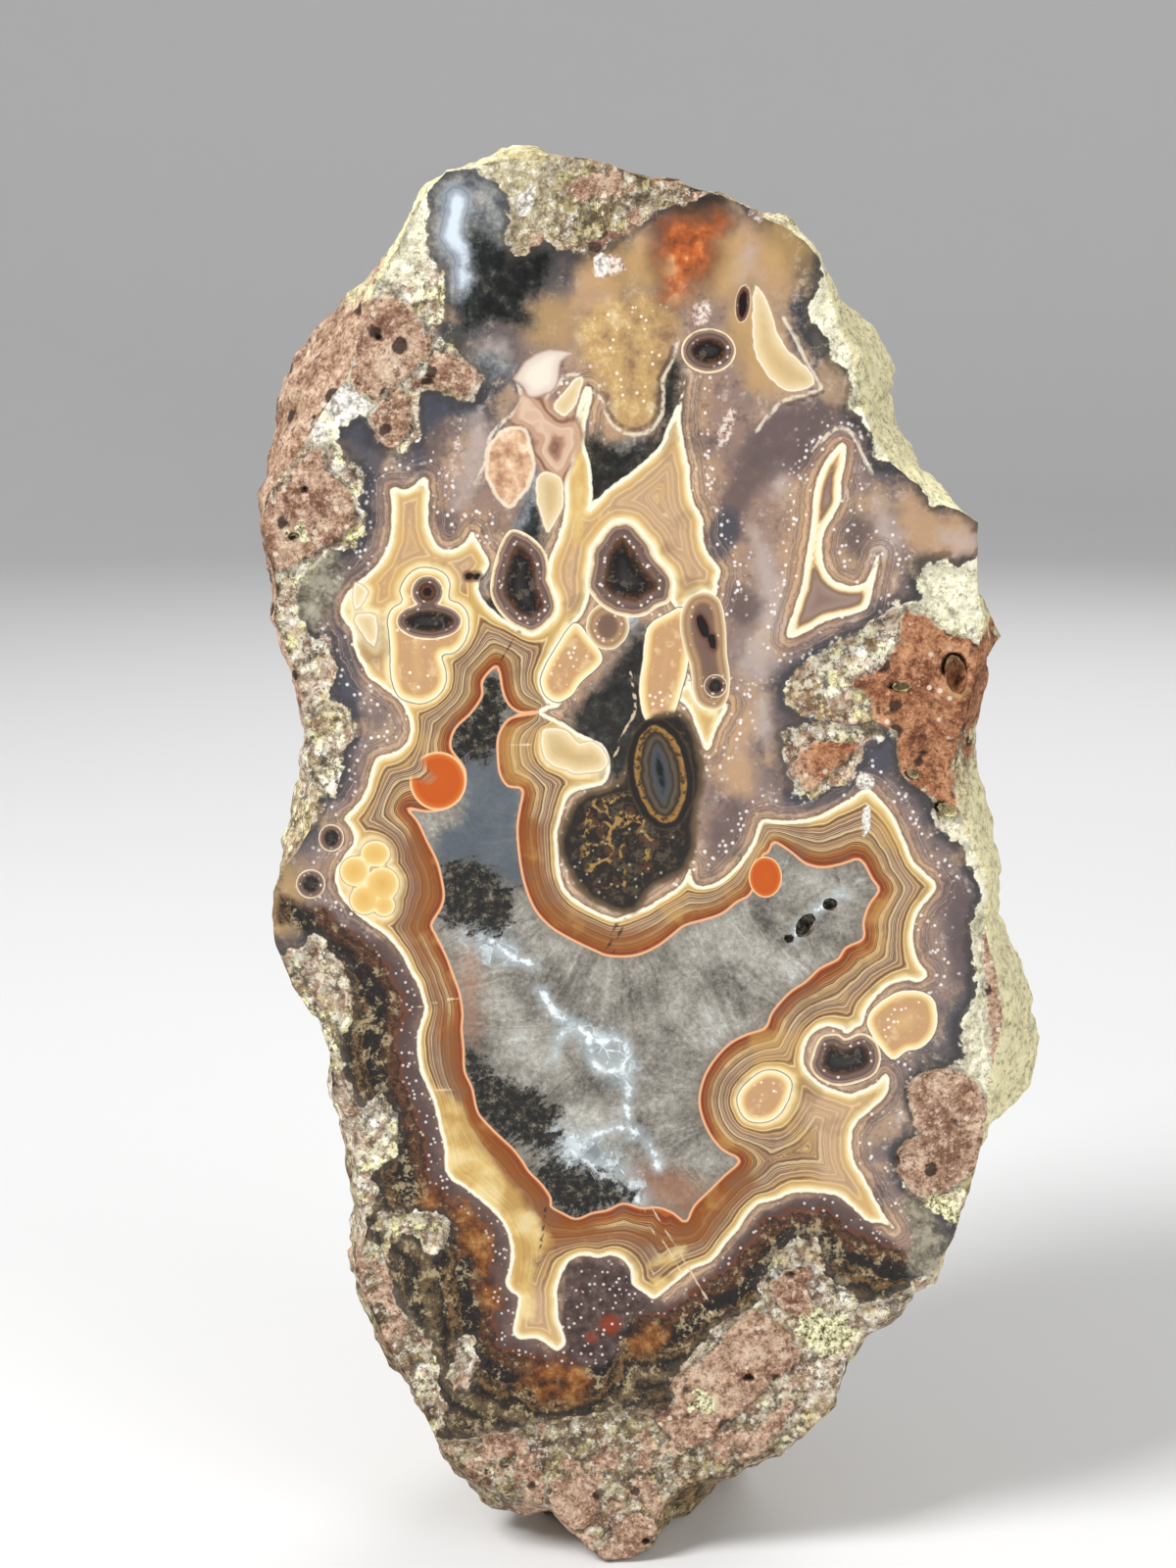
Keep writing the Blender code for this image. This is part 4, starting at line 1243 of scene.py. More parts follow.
def crust_colour(paint):
    """Crumbly lumps in cream, grey and yellow with shadowed gaps between them, and chips of rock."""
    bright = paint.over(paint.field("bright_crust"), -0.2, 0.35)
    dingy = paint.over(paint.field("dingy_crust"), -0.2, 0.35)
    distance, chance = paint.cells(1.5, 7.0)
    colour = paint.ramp(chance, CRUST_TONES)
    patch = paint.noise(4.0, 4.0, 0.65, 31.0)
    colour = paint.blend(paint.both(paint.over(patch, 0.53, 0.60), 0.85), colour, (253, 249, 206), "MULTIPLY")
    colour = paint.blend(paint.both(paint.over(patch, 0.47, 0.39), 0.85), colour, (216, 190, 178), "MULTIPLY")
    colour = paint.blend(paint.both(bright, 0.75), colour, (252, 249, 218))
    colour = paint.blend(paint.both(dingy, 0.8), colour, (184, 172, 152), "MULTIPLY")
    crumbs = paint.noise(1.1, 7.0, 0.84, 12.0)
    dark_crumbs = paint.both(paint.over(crumbs, 0.49, 0.38), paint.minus(0.9, paint.times(bright, 0.35)))
    colour = paint.blend(dark_crumbs, colour, (92, 77, 60))
    colour = paint.blend(paint.both(paint.over(crumbs, 0.52, 0.62), 0.6), colour, (250, 248, 238))
    # Painted shade: the gaps between the lumps are darkened towards the cell edges, less where the crust is
    # bright.
    gaps = paint.over(paint.plus(distance, paint.times(patch, 0.6)), 0.88, 1.20)
    strength = paint.minus(0.80, paint.times(bright, 0.50))
    colour = paint.blend(paint.both(gaps, strength), colour, (62, 50, 40))
    chips = paint.both(paint.over(paint.noise(4.4, 5.0, 0.6, 37.0), 0.53, 0.56), paint.over(bright, 0.5, 0.2))
    chips = paint.both(chips, paint.plus(0.35, paint.times(dingy, 0.65)))
    return paint.blend(chips, colour, rock_colour(paint))


def paint_ground(paint, chamber):
    """Clouded chalcedony outside the chambers, tan beside them and dark beside the crust."""
    outside = paint.times(chamber, -1.0)
    skin = paint.least(paint.field("heart"), paint.times(paint.field("rock"), -1.0))
    skin = paint.most(skin, 0.0)
    share = paint.ratio(outside, paint.plus(outside, paint.plus(skin, 0.01)))
    sway = paint.times(paint.minus(paint.noise(4.0, 4.0, 0.6), 0.5), 0.5)
    share = paint.plus(share, sway)
    paint.colour = paint.ramp(share, GROUND_TONES)
    cloud = paint.noise(9.0, 5.0, 0.68, 3.0)
    paint.lay((186, 156, 124), paint.over(cloud, 0.50, 0.64), 0.65)
    paint.lay((78, 70, 74), paint.over(cloud, 0.47, 0.34), 0.65)
    wisp = paint.noise(2.4, 5.0, 0.75, 21.0)
    paint.lay((208, 190, 176), paint.over(wisp, 0.53, 0.68), 0.5)
    paint.lay((78, 66, 66), paint.over(wisp, 0.45, 0.33), 0.5)


def paint_hems(paint, chamber):
    """Fine lines and rows of white dots that follow the chambers' edges on their outer side."""
    outside = paint.times(chamber, -1.0)
    sway = paint.times(paint.noise(2.0, 3.0, 0.6, 8.0), 1.3)
    streaks = paint.layers(paint.plus(outside, sway), 0.34, 2.0)
    near = paint.over(outside, 3.8, 0.8)
    paint.lay((224, 206, 184), paint.over(streaks, 0.54, 0.66), near, 0.55)
    paint.lay((92, 72, 68), paint.over(streaks, 0.46, 0.35), near, 0.6)
    paint.lay((86, 66, 58), paint.within(outside, 0.16, 0.42, 0.12), 0.6)
    paint.lay((98, 80, 80), paint.within(outside, 1.5, 2.1, 0.3), 0.5)
    row = paint.both(sparkles(paint, 0.85, 0.85, 0.36), paint.within(outside, 2.1, 3.3, 0.3))
    paint.lay((240, 234, 230), row, 0.85)
    spread = paint.both(sparkles(paint, 1.0, 0.8, 0.30), paint.over(outside, 7.0, 2.0),
                        paint.over(paint.noise(2.6, 3.0, 0.6, 5.0), 0.47, 0.57))
    paint.lay((236, 226, 220), spread, 0.85)


def paint_clouds(paint):
    """Peach, hazy, dusky, ochre, slate and blue patches in the ground."""
    paint.lay((190, 154, 118), paint.over(paint.wobbled("peach", 2.2, 1.4), -1.6, 1.6), 0.8)
    paint.lay((184, 168, 160), paint.over(paint.wobbled("haze", 1.6, 1.5), -1.4, 1.6), 0.75)
    paint.lay((94, 80, 80), paint.over(paint.wobbled("dusk", 2.2, 1.2), -1.2, 1.2), 0.8)
    paint.lay((186, 150, 96), paint.over(paint.wobbled("ochre", 3.0, 1.8), -2.2, 1.8), 0.65)
    paint.lay((70, 72, 82), paint.over(paint.wobbled("slate", 2.2, 1.0), -1.0, 0.6), 0.85)
    blue = paint.wobbled("blue", 2.2, 1.2)
    blues = paint.ramp(paint.noise(1.8, 5.0, 0.7, 16.0), BLUE_TONES)
    paint.lay(blues, paint.over(blue, -1.4, 1.0), 0.85)
    streak = paint.stirred("blue_streak", 1.6, 2.6, 3.0)
    paint.lay((164, 172, 182), paint.over(streak, 3.1, 1.8), 0.7)
    paint.lay((110, 116, 124), paint.within(streak, 2.05, 2.25, 0.15), 0.7)
    paint.lay((208, 218, 230), paint.over(streak, 1.80, 1.15))


def paint_smoke(paint):
    """Black-green smoke, thick in its middle and torn into wisps at its edge."""
    torn = paint.times(paint.noise(2.4, 6.0, 0.78, 4.0), 5.4)
    smoke = paint.plus(paint.field("smoke"), torn)
    soot = paint.ramp(paint.noise(2.0, 6.0, 0.72, 17.0), SMOKE_TONES)
    paint.lay((72, 72, 70), paint.over(smoke, 0.2, 2.4), 0.65)
    paint.lay(soot, paint.over(smoke, 1.7, 3.4), 0.92)


def paint_stains(paint):
    """The amber finger, the orange stain, fine drawn lines and the gritty white specks."""
    amber = paint.wobbled("amber", 2.2, 0.7)
    ambers = paint.ramp(paint.noise(3.6, 6.0, 0.70, 18.0), AMBER_TONES)
    paint.lay(ambers, paint.over(amber, -1.2, 1.2), 0.9)
    dots = paint.both(sparkles(paint, 0.95, 0.75, 0.28), paint.over(amber, 0.2, 1.0),
                      paint.over(paint.noise(3.0, 2.0, 0.5, 6.0), 0.40, 0.52))
    paint.lay((244, 234, 212), dots, 0.8)
    orange = paint.wobbled("orange", 2.2, 1.4)
    paint.lay((122, 84, 60), paint.over(orange, -3.4, -0.4), 0.75)
    oranges = paint.ramp(paint.noise(3.0, 4.0, 0.62, 24.0), ORANGE_TONES)
    paint.lay(oranges, paint.over(orange, -1.8, 1.4), 0.9)
    sway = paint.times(paint.noise(1.2, 3.0, 0.6, 38.0), 0.5)
    pale = paint.over(paint.plus(paint.field("pale_line"), sway), 0.62, 0.34)
    paint.lay((232, 220, 198), pale, 0.75)
    dark = paint.over(paint.plus(paint.field("dark_line"), sway), 0.66, 0.34)
    paint.lay((88, 68, 60), dark, 0.7)
    speck = paint.stirred("speck", 2.4, 1.3, 4.0, 0.7, 14.0)
    specks = paint.ramp(paint.noise(0.7, 4.0, 0.75, 28.0), SPECK_TONES)
    paint.lay(specks, paint.over(speck, 1.3, 1.8), 0.85)


def paint_murk(paint, chamber):
    """The dark brown ground at the lower left and bottom, with its mauve pocket and glowing brown places."""
    outside = paint.times(chamber, -1.0)
    sway = paint.times(paint.minus(paint.noise(2.2, 6.0, 0.72), 0.5), 5.4)
    reach = paint.plus(outside, sway)
    ramp = paint.ramp(paint.ratio(reach, 14.0), MURK_TONES)
    mask = paint.over(paint.wobbled("murk", 3.0, 1.4), -0.8, 0.8)
    paint.lay(ramp, mask)
    threads = paint.layers(paint.plus(reach, paint.times(paint.noise(1.6, 3.0), 2.0)), 0.6, 3.0)
    deep = paint.over(outside, 2.4, 4.0)
    paint.lay((128, 92, 58), paint.over(threads, 0.58, 0.66), mask, deep, 0.6)
    paint.lay((18, 15, 13), paint.over(threads, 0.46, 0.34), mask, deep, 0.75)
    flecks = paint.noise(1.8, 7.0, 0.80, 19.0)
    paint.lay((176, 158, 122), paint.over(flecks, 0.53, 0.61), mask, deep, 0.75)
    paint.lay((14, 12, 12), paint.over(flecks, 0.46, 0.39), mask, deep, 0.75)
    ember = paint.wobbled("ember", 2.2, 2.0)
    glow = paint.ramp(paint.noise(3.0, 5.0, 0.7, 45.0), EMBER_TONES)
    paint.lay(glow, paint.over(ember, -1.2, 1.2), mask, 0.8)
    mauve = paint.over(paint.wobbled("mauve", 1.6, 0.8), -0.8, 0.6)
    mauves = paint.ramp(paint.noise(2.0, 5.0, 0.7, 39.0), MAUVE_TONES)
    paint.lay(mauves, mauve, 0.9)
    spot = paint.both(paint.over(paint.wobbled("orange", 1.1, 0.4), -0.7, 0.8), mask)
    paint.lay((138, 54, 24), spot, 0.9)
    near = paint.most(paint.over(outside, 3.2, 2.2), paint.over(paint.field("mauve"), -0.5, 0.3))
    dots = paint.both(sparkles(paint, 0.85, 0.85, 0.30), mask, near)
    paint.lay((222, 210, 206), dots, 0.85)


def paint_bands(paint, chamber):
    """Fortification bands inside the chambers, from the cream edge to the red-orange rim of the quartz."""
    seed = paint.field("seed")
    gap = paint.most(paint.times(paint.field("window"), -1.0), 0.0)
    span = paint.least(paint.most(paint.plus(seed, gap), 1.0), 8.5)
    share = paint.ratio(seed, span)
    sway = paint.times(paint.minus(paint.noise(2.4, 3.0, 0.5, 11.0), 0.5), 0.08)
    share = paint.plus(share, sway)
    bands = paint.ramp(share, BAND_TONES)
    calm = paint.over(paint.noise(5.0, 3.0, 0.6, 29.0), 0.62, 0.48)
    near = paint.over(gap, 13.0, 8.0)
    for width, strength in ((0.050, 0.65), (0.024, 0.35)):
        lines = paint.layers(paint.plus(share, 5.0), width, 1.0)
        dark = paint.both(paint.over(lines, 0.47, 0.36), paint.over(share, 0.10, 0.20), calm, strength)
        bands = paint.blend(dark, bands, (82, 56, 42))
        pale = paint.both(paint.over(lines, 0.57, 0.68), paint.over(share, 0.92, 0.75), strength)
        bands = paint.blend(pale, bands, (236, 214, 168))
    far = paint.both(paint.over(near, 1.0, 0.0), paint.over(share, 0.05, 0.20), 0.62)
    bands = paint.blend(far, bands, (208, 174, 136))
    amber = paint.over(paint.wobbled("amber_band", 3.0, 1.0), -0.6, 1.4)
    amber = paint.both(amber, paint.over(share, 0.15, 0.5))
    bands = paint.blend(paint.both(amber, 0.8), bands, (132, 72, 18))
    blotch = paint.noise(7.0, 3.0, 0.6, 23.0)
    bands = paint.blend(paint.both(paint.over(blotch, 0.52, 0.66), 0.35), bands, (206, 164, 92))
    bands = paint.blend(paint.both(paint.over(blotch, 0.47, 0.34), 0.40), bands, (116, 86, 70))
    gel = paint.both(paint.over(paint.wobbled("gel", 2.2, 0.8), -0.4, 1.0), 0.8)
    bands = paint.blend(gel, bands, paint.ramp(paint.noise(4.0, 3.0, 0.5, 26.0), GEL_TONES))
    paint.lay(bands, paint.over(chamber, -0.03, 0.05))
    fork = paint.wobbled("fork", 1.6, 0.18)
    forks = paint.ramp(paint.ratio(fork, 4.0), FORK_TONES)
    paint.lay(forks, paint.over(fork, -0.03, 0.05))
    line = paint.size(paint.minus(chamber, 0.12))
    paint.lay((242, 234, 212), paint.over(line, 0.34, 0.14), 0.9)


def paint_shapes(paint):
    """Orbs, plumes, bubbles, bulbs and folded pink pieces, each with its rim."""
    orb = paint.wobbled("orb", 1.6, 0.12)
    orbs = paint.ramp(paint.ratio(orb, 4.0), ORB_TONES)
    paint.lay(orbs, paint.over(orb, -0.12, 0.0))
    clouds = paint.noise(2.4, 4.0, 0.65, 40.0)
    paint.lay((222, 192, 150), paint.over(clouds, 0.52, 0.66), paint.over(orb, 0.6, 1.4), 0.6)
    dots = paint.both(sparkles(paint, 0.85, 0.8, 0.32), paint.over(orb, 0.7, 1.3),
                      paint.over(paint.noise(3.0, 2.0, 0.5, 6.0), 0.44, 0.54))
    paint.lay((244, 232, 218), dots, 0.85)
    paint_folds(paint)
    plume = paint.wobbled("plume", 1.6, 0.3)
    plumes = paint.ramp(paint.ratio(plume, 2.6), PLUME_TONES)
    paint.lay(plumes, paint.over(plume, -0.25, 0.15), 0.92)
    bubble = paint.field("bubble")
    bubbles = paint.ramp(paint.ratio(bubble, 2.3), BUBBLE_TONES)
    paint.lay(bubbles, paint.over(bubble, -0.05, 0.05))


def paint_folds(paint):
    """The pinkish folds, the white bulb above them and the peach one below."""
    pink = paint.wobbled("pink", 1.6, 0.4)
    wave = paint.times(paint.noise(7.0, 2.0, 0.5, 3.0), 9.0)
    folds = paint.layers(paint.plus(paint.field("pink"), wave), 1.3, 1.0)
    pinks = paint.ramp(folds, FOLD_TONES)
    paint.lay(pinks, paint.over(pink, -0.6, 0.5), 0.95)
    flesh = paint.wobbled("flesh", 1.6, 0.4)
    peach = paint.ramp(paint.noise(2.2, 5.0, 0.65, 41.0), FLESH_TONES)
    paint.lay(peach, paint.over(flesh, -0.1, 0.15))
    paint.lay((236, 222, 198), paint.within(flesh, -0.05, 0.45, 0.15), 0.7)
    bulb = paint.wobbled("bulb", 2.2, 0.25)
    whites = paint.ramp(paint.ratio(bulb, 2.6), BULB_TONES)
    paint.lay(whites, paint.over(bulb, -0.15, 0.10))


def paint_eyes(paint):
    """Capsules and dark eyes with pale rims, mottled in the middle."""
    capsule = paint.wobbled("capsule", 1.6, 0.12)
    capsules = paint.ramp(paint.ratio(capsule, 3.2), CAPSULE_TONES)
    paint.lay(capsules, paint.over(capsule, -0.05, 0.05))
    rims = paint.both(sparkles(paint, 0.8, 0.8, 0.32), paint.within(capsule, 0.8, 1.5, 0.2))
    paint.lay((232, 222, 214), rims, 0.8)
    swing = paint.minus(paint.noise(1.6, 4.0, 0.6, 30.0), 0.5)
    eye = paint.plus(paint.field("eye_share"), paint.times(swing, 0.16))
    eyes = paint.ramp(eye, EYE_TONES)
    paint.lay(eyes, paint.over(paint.field("eye_share"), -0.01, 0.01))
    mottle = paint.noise(1.2, 5.0, 0.7, 42.0)
    core = paint.over(eye, 0.44, 0.56)
    paint.lay((92, 84, 72), paint.over(mottle, 0.53, 0.62), core, 0.75)
    rust = paint.both(paint.over(mottle, 0.45, 0.38), core, paint.over(eye, 0.75, 0.60), 0.75)
    paint.lay((104, 64, 34), rust)
    dots = paint.both(sparkles(paint, 0.75, 0.9, 0.36), paint.within(eye, 0.28, 0.44, 0.04))
    paint.lay((236, 226, 220), dots, 0.85)
    slit = paint.wobbled("slit", 1.1, 0.2)
    paint.lay((104, 66, 46), paint.over(slit, -0.5, -0.1), 0.8)
    paint.lay((30, 22, 24), paint.over(slit, -0.12, 0.12))


def paint_moss(paint):
    """The mossy heart, black with looping gold threads, and the ringed gold eye beside it."""
    moss = paint.wobbled("moss", 2.2, 0.6)
    paint.lay((96, 78, 56), paint.over(moss, -1.3, -0.5))
    paint.lay((34, 28, 24), paint.over(moss, -0.6, 0.3))
    paint.lay((84, 72, 56), paint.over(paint.noise(1.8, 6.0, 0.78, 2.0), 0.50, 0.60),
              paint.over(moss, 0.0, 1.0), 0.8)
    paint.lay((88, 54, 34), paint.over(paint.noise(2.2, 4.0, 0.7, 43.0), 0.56, 0.64),
              paint.over(moss, 0.4, 1.2), 0.7)
    loops = paint.size(paint.minus(paint.noise(3.2, 2.0, 0.5, 9.0), 0.5))
    thread = paint.over(loops, 0.050, 0.030)
    gold = paint.both(thread, paint.over(paint.wobbled("gold_moss", 2.2, 0.8), -0.6, 0.4))
    gold = paint.both(gold, paint.over(paint.noise(0.6, 3.0, 0.6, 34.0), 0.42, 0.54))
    paint.lay((166, 130, 72), gold, 0.9)
    paint.lay((190, 178, 158), sparkles(paint, 0.8, 0.25, 0.3), paint.over(moss, -1.2, -0.1), 0.6)
    swing = paint.minus(paint.noise(1.2, 3.0), 0.5)
    ring = paint.plus(paint.field("ring_share"), paint.times(swing, 0.16))
    rings = paint.ramp(ring, RING_TONES)
    paint.lay(rings, paint.over(paint.field("ring_share"), -0.02, 0.02))
    gaps = paint.both(paint.within(ring, 0.26, 0.42, 0.02),
                      paint.over(paint.noise(0.7, 3.0, 0.6, 7.0), 0.52, 0.42))
    paint.lay((44, 34, 26), gaps, 0.85)


def paint_quartz(paint):
    """The window: grey glassy quartz with fibres growing in from its edge, and white veins and crystals."""
    window = paint.field("window")
    inside = paint.over(window, -0.02, 0.05)
    clouds = paint.noise(6.0, 5.0, 0.6, 7.0)
    sparks = paint.noise(0.6, 4.0, 0.8, 27.0)
    tone = paint.plus(paint.times(fibres(paint), 0.16), paint.times(clouds, 0.54))
    tone = paint.plus(tone, paint.times(sparks, 0.30))
    quartz = paint.ramp(tone, QUARTZ_TONES)
    paint.lay(quartz, inside)
    warm = paint.over(paint.wobbled("quartz_warm", 2.2, 1.6), -2.4, 2.4)
    paint.lay((166, 118, 88), inside, warm, 0.6)
    paint.lay((116, 104, 94), inside, paint.over(window, 1.8, 0.2), 0.45)
    deep = paint.stirred("quartz_deep", 3.0, 1.8, 6.0, 0.74)
    paint.lay((80, 90, 100), inside, paint.over(deep, 0.4, 2.6), 0.85)
    white = paint.stirred("quartz_white", 5.0, 2.0, 6.0, 0.76)
    frost = paint.over(white, 0.4, 4.0)
    paint.lay((168, 178, 182), inside, frost, 0.6)
    edges, chance = paint.facets(2.2)
    broken = paint.over(paint.noise(1.8, 4.0, 0.7, 44.0), 0.45, 0.56)
    paint.lay((232, 240, 242), paint.over(edges, 0.07, 0.005), frost, inside, broken, 0.8)
    paint.lay((216, 226, 230), paint.over(chance, 0.74, 0.76), frost, inside, broken, 0.75)
    paint.lay((110, 118, 122), paint.over(chance, 0.22, 0.20), frost, inside, 0.6)
    vein = paint.stirred("white_vein", 2.4, 1.8, 4.0, 0.7, 8.0)
    paint.lay((188, 198, 202), inside, paint.over(vein, 2.8, 1.2), 0.5)
    paint.lay((234, 241, 243), inside, paint.over(vein, 1.60, 1.15), 0.85)


def fibres(paint):
    """Fine lines that grow inwards from the window's edge, a little bent."""
    bend = paint.times(paint.noise(3.0, 5.0, 0.7, 48.0), 2.0)
    return paint.layers(paint.plus(paint.field("window_along"), bend), 0.6, 3.0)


def paint_quartz_edge(paint):
    """Black feathery moss at the window's edge, its thin bright line, and the orange balls on it."""
    window = paint.field("window")
    inside = paint.over(window, -0.02, 0.05)
    torn = paint.plus(paint.times(paint.noise(2.0, 7.0, 0.80, 2.0), 9.0),
                      paint.times(fibres(paint), 4.0))
    dark = paint.plus(paint.field("quartz_dark"), torn)
    soot = paint.ramp(paint.noise(1.3, 7.0, 0.82, 13.0), SOOT_TONES)
    paint.lay((80, 77, 72), inside, paint.over(dark, 4.4, 6.6), 0.7)
    paint.lay(soot, inside, paint.over(dark, 5.9, 6.9), 0.96)
    paint.lay((232, 176, 132), paint.over(paint.size(window), 0.22, 0.08), 0.9)
    ball = paint.field("ball_share")
    balls = paint.ramp(ball, BALL_TONES)
    paint.lay(balls, paint.over(ball, -0.01, 0.01), paint.over(window, -4.8, -3.2))


def paint_crust(paint):
    """Pale gritty crust and brown rock round the face. Gives the mask of where it is rough."""
    edge = paint.times(paint.wobbled("heart", 1.6, 1.5), -1.0)
    crust = paint.most(edge, paint.wobbled("grit", 1.6, 1.6))
    crust_mask = paint.over(crust, -0.10, 0.20)
    paint.lay((60, 54, 50), paint.within(crust, -0.9, 0.0, 0.4), 0.5)
    paint.lay(crust_colour(paint), crust_mask)
    glass = paint.ramp(paint.noise(2.4, 6.0, 0.75, 49.0), GLASS_TONES)
    paint.lay(glass, paint.over(paint.wobbled("glassy", 1.6, 1.6), -0.4, 0.8), 0.8)
    rock = paint.wobbled("rock", 1.6, 1.0)
    rock_mask = paint.over(rock, -0.15, 0.2)
    # Painted shadow: a dark line on the crust just outside each rock.
    paint.lay((66, 50, 42), paint.within(rock, -0.5, 0.0, 0.25), 0.45)
    paint.lay(rock_colour(paint), rock_mask)
    # Painted shade: the holes and slots in the rock are darkened nearly to black.
    paint.lay((50, 32, 26), paint.over(paint.wobbled("rock_pit", 1.1, 0.15), -0.10, 0.15), 0.9)
    paint.lay((184, 146, 100), paint.over(paint.field("pit_floor"), -0.1, 0.4), 0.9)
    crumbs = paint.noise(0.7, 5.0, 0.78, 46.0)
    whites = paint.ramp(crumbs, WHITE_LUMP_TONES)
    yellows = paint.ramp(crumbs, YELLOW_LUMP_TONES)
    paint.lay(whites, paint.over(paint.wobbled("white_lump", 1.1, 0.6), -0.1, 0.2))
    paint.lay(yellows, paint.over(paint.wobbled("yellow_lump", 1.6, 2.4), -0.1, 0.3))
    return paint.most(crust_mask, rock_mask)


def rock_colour(paint):
    """Brown vesicular rock: soft mottles, dark and pale crumbs, and ragged dark pits."""
    colour = paint.ramp(paint.noise(5.0, 6.0, 0.72, 15.0), ROCK_TONES)
    grain = paint.noise(0.9, 7.0, 0.84, 4.0)
    colour = paint.blend(paint.both(paint.over(grain, 0.49, 0.39), 0.8), colour, (92, 60, 46))
    colour = paint.blend(paint.both(paint.over(grain, 0.52, 0.62), 0.7), colour, (226, 202, 180))
    brown = paint.over(paint.field("brown_rock"), -0.05, 0.25)
    colour = paint.blend(paint.both(brown, 0.8), colour, (232, 184, 144), "MULTIPLY")
    distance, chance = paint.cells(1.3)
    crumbs = paint.both(paint.over(distance, 0.34, 0.20), paint.over(chance, 0.84, 0.87))
    colour = paint.blend(paint.both(crumbs, 0.75), colour, (232, 218, 198))
    # Painted shade: ragged dark pits stand for the shade inside the rock's holes.
    distance, chance = paint.cells(3.0, 3.0)
    pit_shade = paint.both(paint.over(distance, 0.42, 0.32), paint.over(chance, 0.50, 0.54))
    return paint.blend(paint.both(pit_shade, 0.9), colour, (46, 30, 24))


def paint_cracks(paint):
    """Healed and open fractures across the bands."""
    wander = paint.times(paint.minus(paint.noise(1.2), 0.5), 0.5)
    pale = paint.size(paint.plus(paint.field("pale_crack"), wander))
    paint.lay((222, 196, 164), paint.over(pale, 0.22, 0.08), 0.8)
    dark = paint.size(paint.plus(paint.field("dark_crack"), wander))
    paint.lay((44, 32, 26), paint.over(dark, 0.24, 0.08), 0.8)


def finish_material(paint, roughness, bump_height, bump_strength):
    """Joins the painted colour, roughness and bump to the shader."""
    paint.put(paint.shader.inputs["Base Color"], paint.colour)
    paint.put(paint.shader.inputs["Roughness"], roughness)
    bump = paint.nodes.new("ShaderNodeBump")
    bump.inputs["Distance"].default_value = BUMP_HEIGHT
    paint.put(bump.inputs["Strength"], bump_strength)
    paint.put(bump.inputs["Height"], bump_height)
    paint.put(paint.shader.inputs["Normal"], bump.outputs["Normal"])
    return paint.material


def polished_face():
    """The cut face: each kind of marking painted over those before it."""
    paint = Painter("polished_face")
    chamber = paint.wobbled("chamber", 1.1, 0.22)
    paint_ground(paint, chamber)
    paint_clouds(paint)
    paint_hems(paint, chamber)
    paint_smoke(paint)
    paint_stains(paint)
    paint_murk(paint, chamber)
    paint_bands(paint, chamber)
    paint_shapes(paint)
    paint_eyes(paint)
    paint_moss(paint)
    paint_quartz(paint)
    paint_quartz_edge(paint)
    paint_cracks(paint)
    rough = paint_crust(paint)
    polish = paint.plus(POLISHED, paint.times(rough, UNPOLISHED))
    paint.shader.inputs["IOR"].default_value = AGATE_IOR
    paint.shader.inputs["Specular IOR Level"].default_value = FACE_SPECULAR
    return finish_material(paint, polish, paint.noise(0.5, 4.0, 0.7), rough)


def weathered_rind():
    """The rind: brown vesicular rock under a crumbly crust that is brightest near the cut face."""
    paint = Painter("weathered_rind")
    ragged = paint.minus(paint.noise(7.0, 6.0, 0.68, 2.0), 0.5)
    paint.colour = crust_colour(paint)
    paint.lay(paint.blend(1.0, paint.colour, (252, 247, 226), "MULTIPLY"),
              paint.over(paint.plus(paint.field("speckled"), ragged), 0.10, -0.10))
    bare = paint.plus(paint.field("red_rock"), paint.times(ragged, 3.4))
    # Painted shadow: a dark line on the crust just outside the bare rock.
    paint.lay((58, 44, 34), paint.within(bare, -0.10, 0.0, 0.10), 0.5)
    paint.lay(rock_colour(paint), paint.over(bare, -0.04, 0.08))
    shade = paint.noise(14.0, 4.0, 0.6, 36.0)
    paint.lay(paint.blend(1.0, paint.colour, (190, 176, 160), "MULTIPLY"), paint.over(shade, 0.52, 0.40),
              paint.over(paint.field("bright_crust"), 0.3, -0.2), 0.8)
    quartz = paint.ramp(paint.noise(0.8, 5.0, 0.75, 47.0), VUG_TONES)
    paint.lay(quartz, paint.over(paint.field("vug"), -0.05, 0.10))
    paint.shader.inputs["Specular IOR Level"].default_value = RIND_SPECULAR
    tone = paint.noise(1.6, 5.0, 0.72, 1.0)
    roughness = paint.plus(RIND_ROUGHNESS, paint.times(tone, 0.2))
    return finish_material(paint, roughness, paint.noise(0.5, 5.0, 0.75), paint.plus(0.5, tone))


# The studio: a round floor that curves up into a wall, its lamps by place, size and power, and its air
FLOOR_RADIUS = 1.5
FLOOR_BEND = 0.6
WALL_TOP = 1.0
BEND_STEPS = 6
BEND_ANGLE = 0.26
FLOOR_SIDES = 64
FLOOR_TONE = 0.72
FLOOR_ROUGHNESS = 0.9
LAMPS = {
    "key": ((-0.60, -0.45, 0.90), 0.35, 13.0),
    "fill": ((0.75, -0.70, 0.60), 0.6, 4.0),
    "back": ((0.30, 0.85, 0.90), 0.6, 5.0),
}
AIR_TONE = 0.82
AIR_STRENGTH = 0.45


def add_camera():
    """The camera of the photograph."""
    data = bpy.data.cameras.new("camera")
    data.sensor_width = SENSOR_MM
    data.lens = FOCAL_PX / FRAME_HEIGHT_PX * SENSOR_MM
    data.clip_start = CLIP_START
    camera = bpy.data.objects.new("camera", data)
    camera.location = (EYE_X, FACE_Y - VIEW_DISTANCE, EYE_HEIGHT)
    camera.rotation_euler = (math.pi / 2 - LOOK_DOWN, 0.0, 0.0)
    bpy.context.scene.collection.objects.link(camera)
    bpy.context.scene.camera = camera


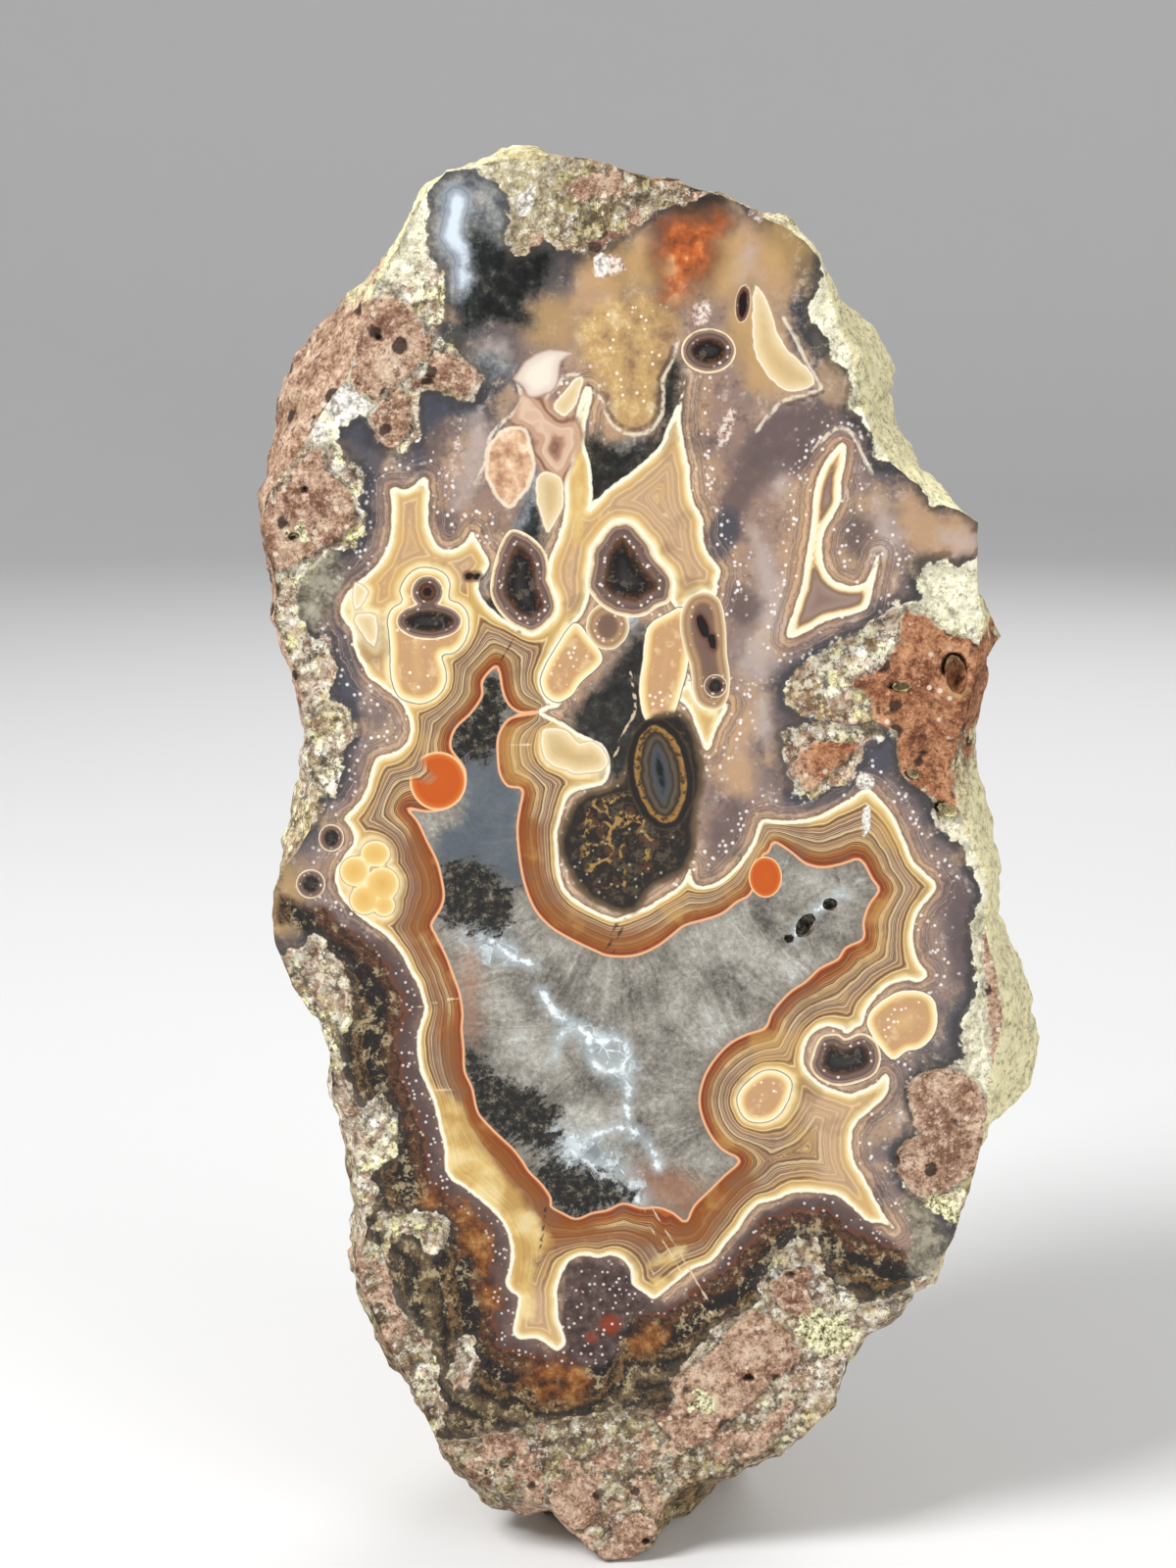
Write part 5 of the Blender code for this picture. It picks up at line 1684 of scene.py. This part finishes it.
def add_floor():
    """A pale plain round floor that curves up into a low wall all round."""
    bm = bmesh.new()
    profile = [(0.001, 0.0), (FLOOR_RADIUS, 0.0)]
    for i in range(BEND_STEPS):
        t = BEND_ANGLE * (i + 1)
        profile.append((FLOOR_RADIUS + FLOOR_BEND * math.sin(t), FLOOR_BEND - FLOOR_BEND * math.cos(t)))
    profile.append((FLOOR_RADIUS + FLOOR_BEND, WALL_TOP))
    rings = []
    for radius, z in profile:
        turns = (2.0 * math.pi * i / FLOOR_SIDES for i in range(FLOOR_SIDES))
        rings.append([bm.verts.new((radius * math.cos(t), radius * math.sin(t), z)) for t in turns])
    for lower, upper in zip(rings, rings[1:]):
        for i in range(FLOOR_SIDES):
            j = (i + 1) % FLOOR_SIDES
            bm.faces.new((lower[i], lower[j], upper[j], upper[i])).smooth = True
    bm.faces.new(rings[0])
    mesh = bpy.data.meshes.new("floor")
    bm.to_mesh(mesh)
    bm.free()
    floor = bpy.data.objects.new("floor", mesh)
    material = bpy.data.materials.new("floor")
    material.use_nodes = True
    shader = material.node_tree.nodes["Principled BSDF"]
    shader.inputs["Base Color"].default_value = (FLOOR_TONE, FLOOR_TONE, FLOOR_TONE, 1.0)
    shader.inputs["Roughness"].default_value = FLOOR_ROUGHNESS
    mesh.materials.append(material)
    bpy.context.scene.collection.objects.link(floor)


def add_light(name, place, size, power):
    """A square lamp that shines at the middle of the stone."""
    data = bpy.data.lights.new(name, "AREA")
    data.size = size
    data.energy = power
    lamp = bpy.data.objects.new(name, data)
    lamp.location = place
    aim = Vector((0.0, 0.0, STONE_HEIGHT / 2)) - Vector(place)
    lamp.rotation_euler = aim.to_track_quat("-Z", "Y").to_euler()
    bpy.context.scene.collection.objects.link(lamp)


def add_studio():
    """The camera, the floor, the lamps and the even light of the room."""
    add_camera()
    add_floor()
    for name, (place, size, power) in LAMPS.items():
        add_light(name, place, size, power)
    world = bpy.data.worlds.new("studio")
    world.use_nodes = True
    air = world.node_tree.nodes["Background"]
    air.inputs["Color"].default_value = (AIR_TONE, AIR_TONE, AIR_TONE, 1.0)
    air.inputs["Strength"].default_value = AIR_STRENGTH
    bpy.context.scene.world = world
    bpy.context.scene.view_settings.view_transform = "Standard"


def main():
    """Builds the stone and its studio."""
    piece = stone_piece()
    paint_fields(piece.data)
    piece.data.materials.append(weathered_rind())
    piece.data.materials.append(polished_face())
    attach(piece, "root")
    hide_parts("agate")
    add_studio()


main()
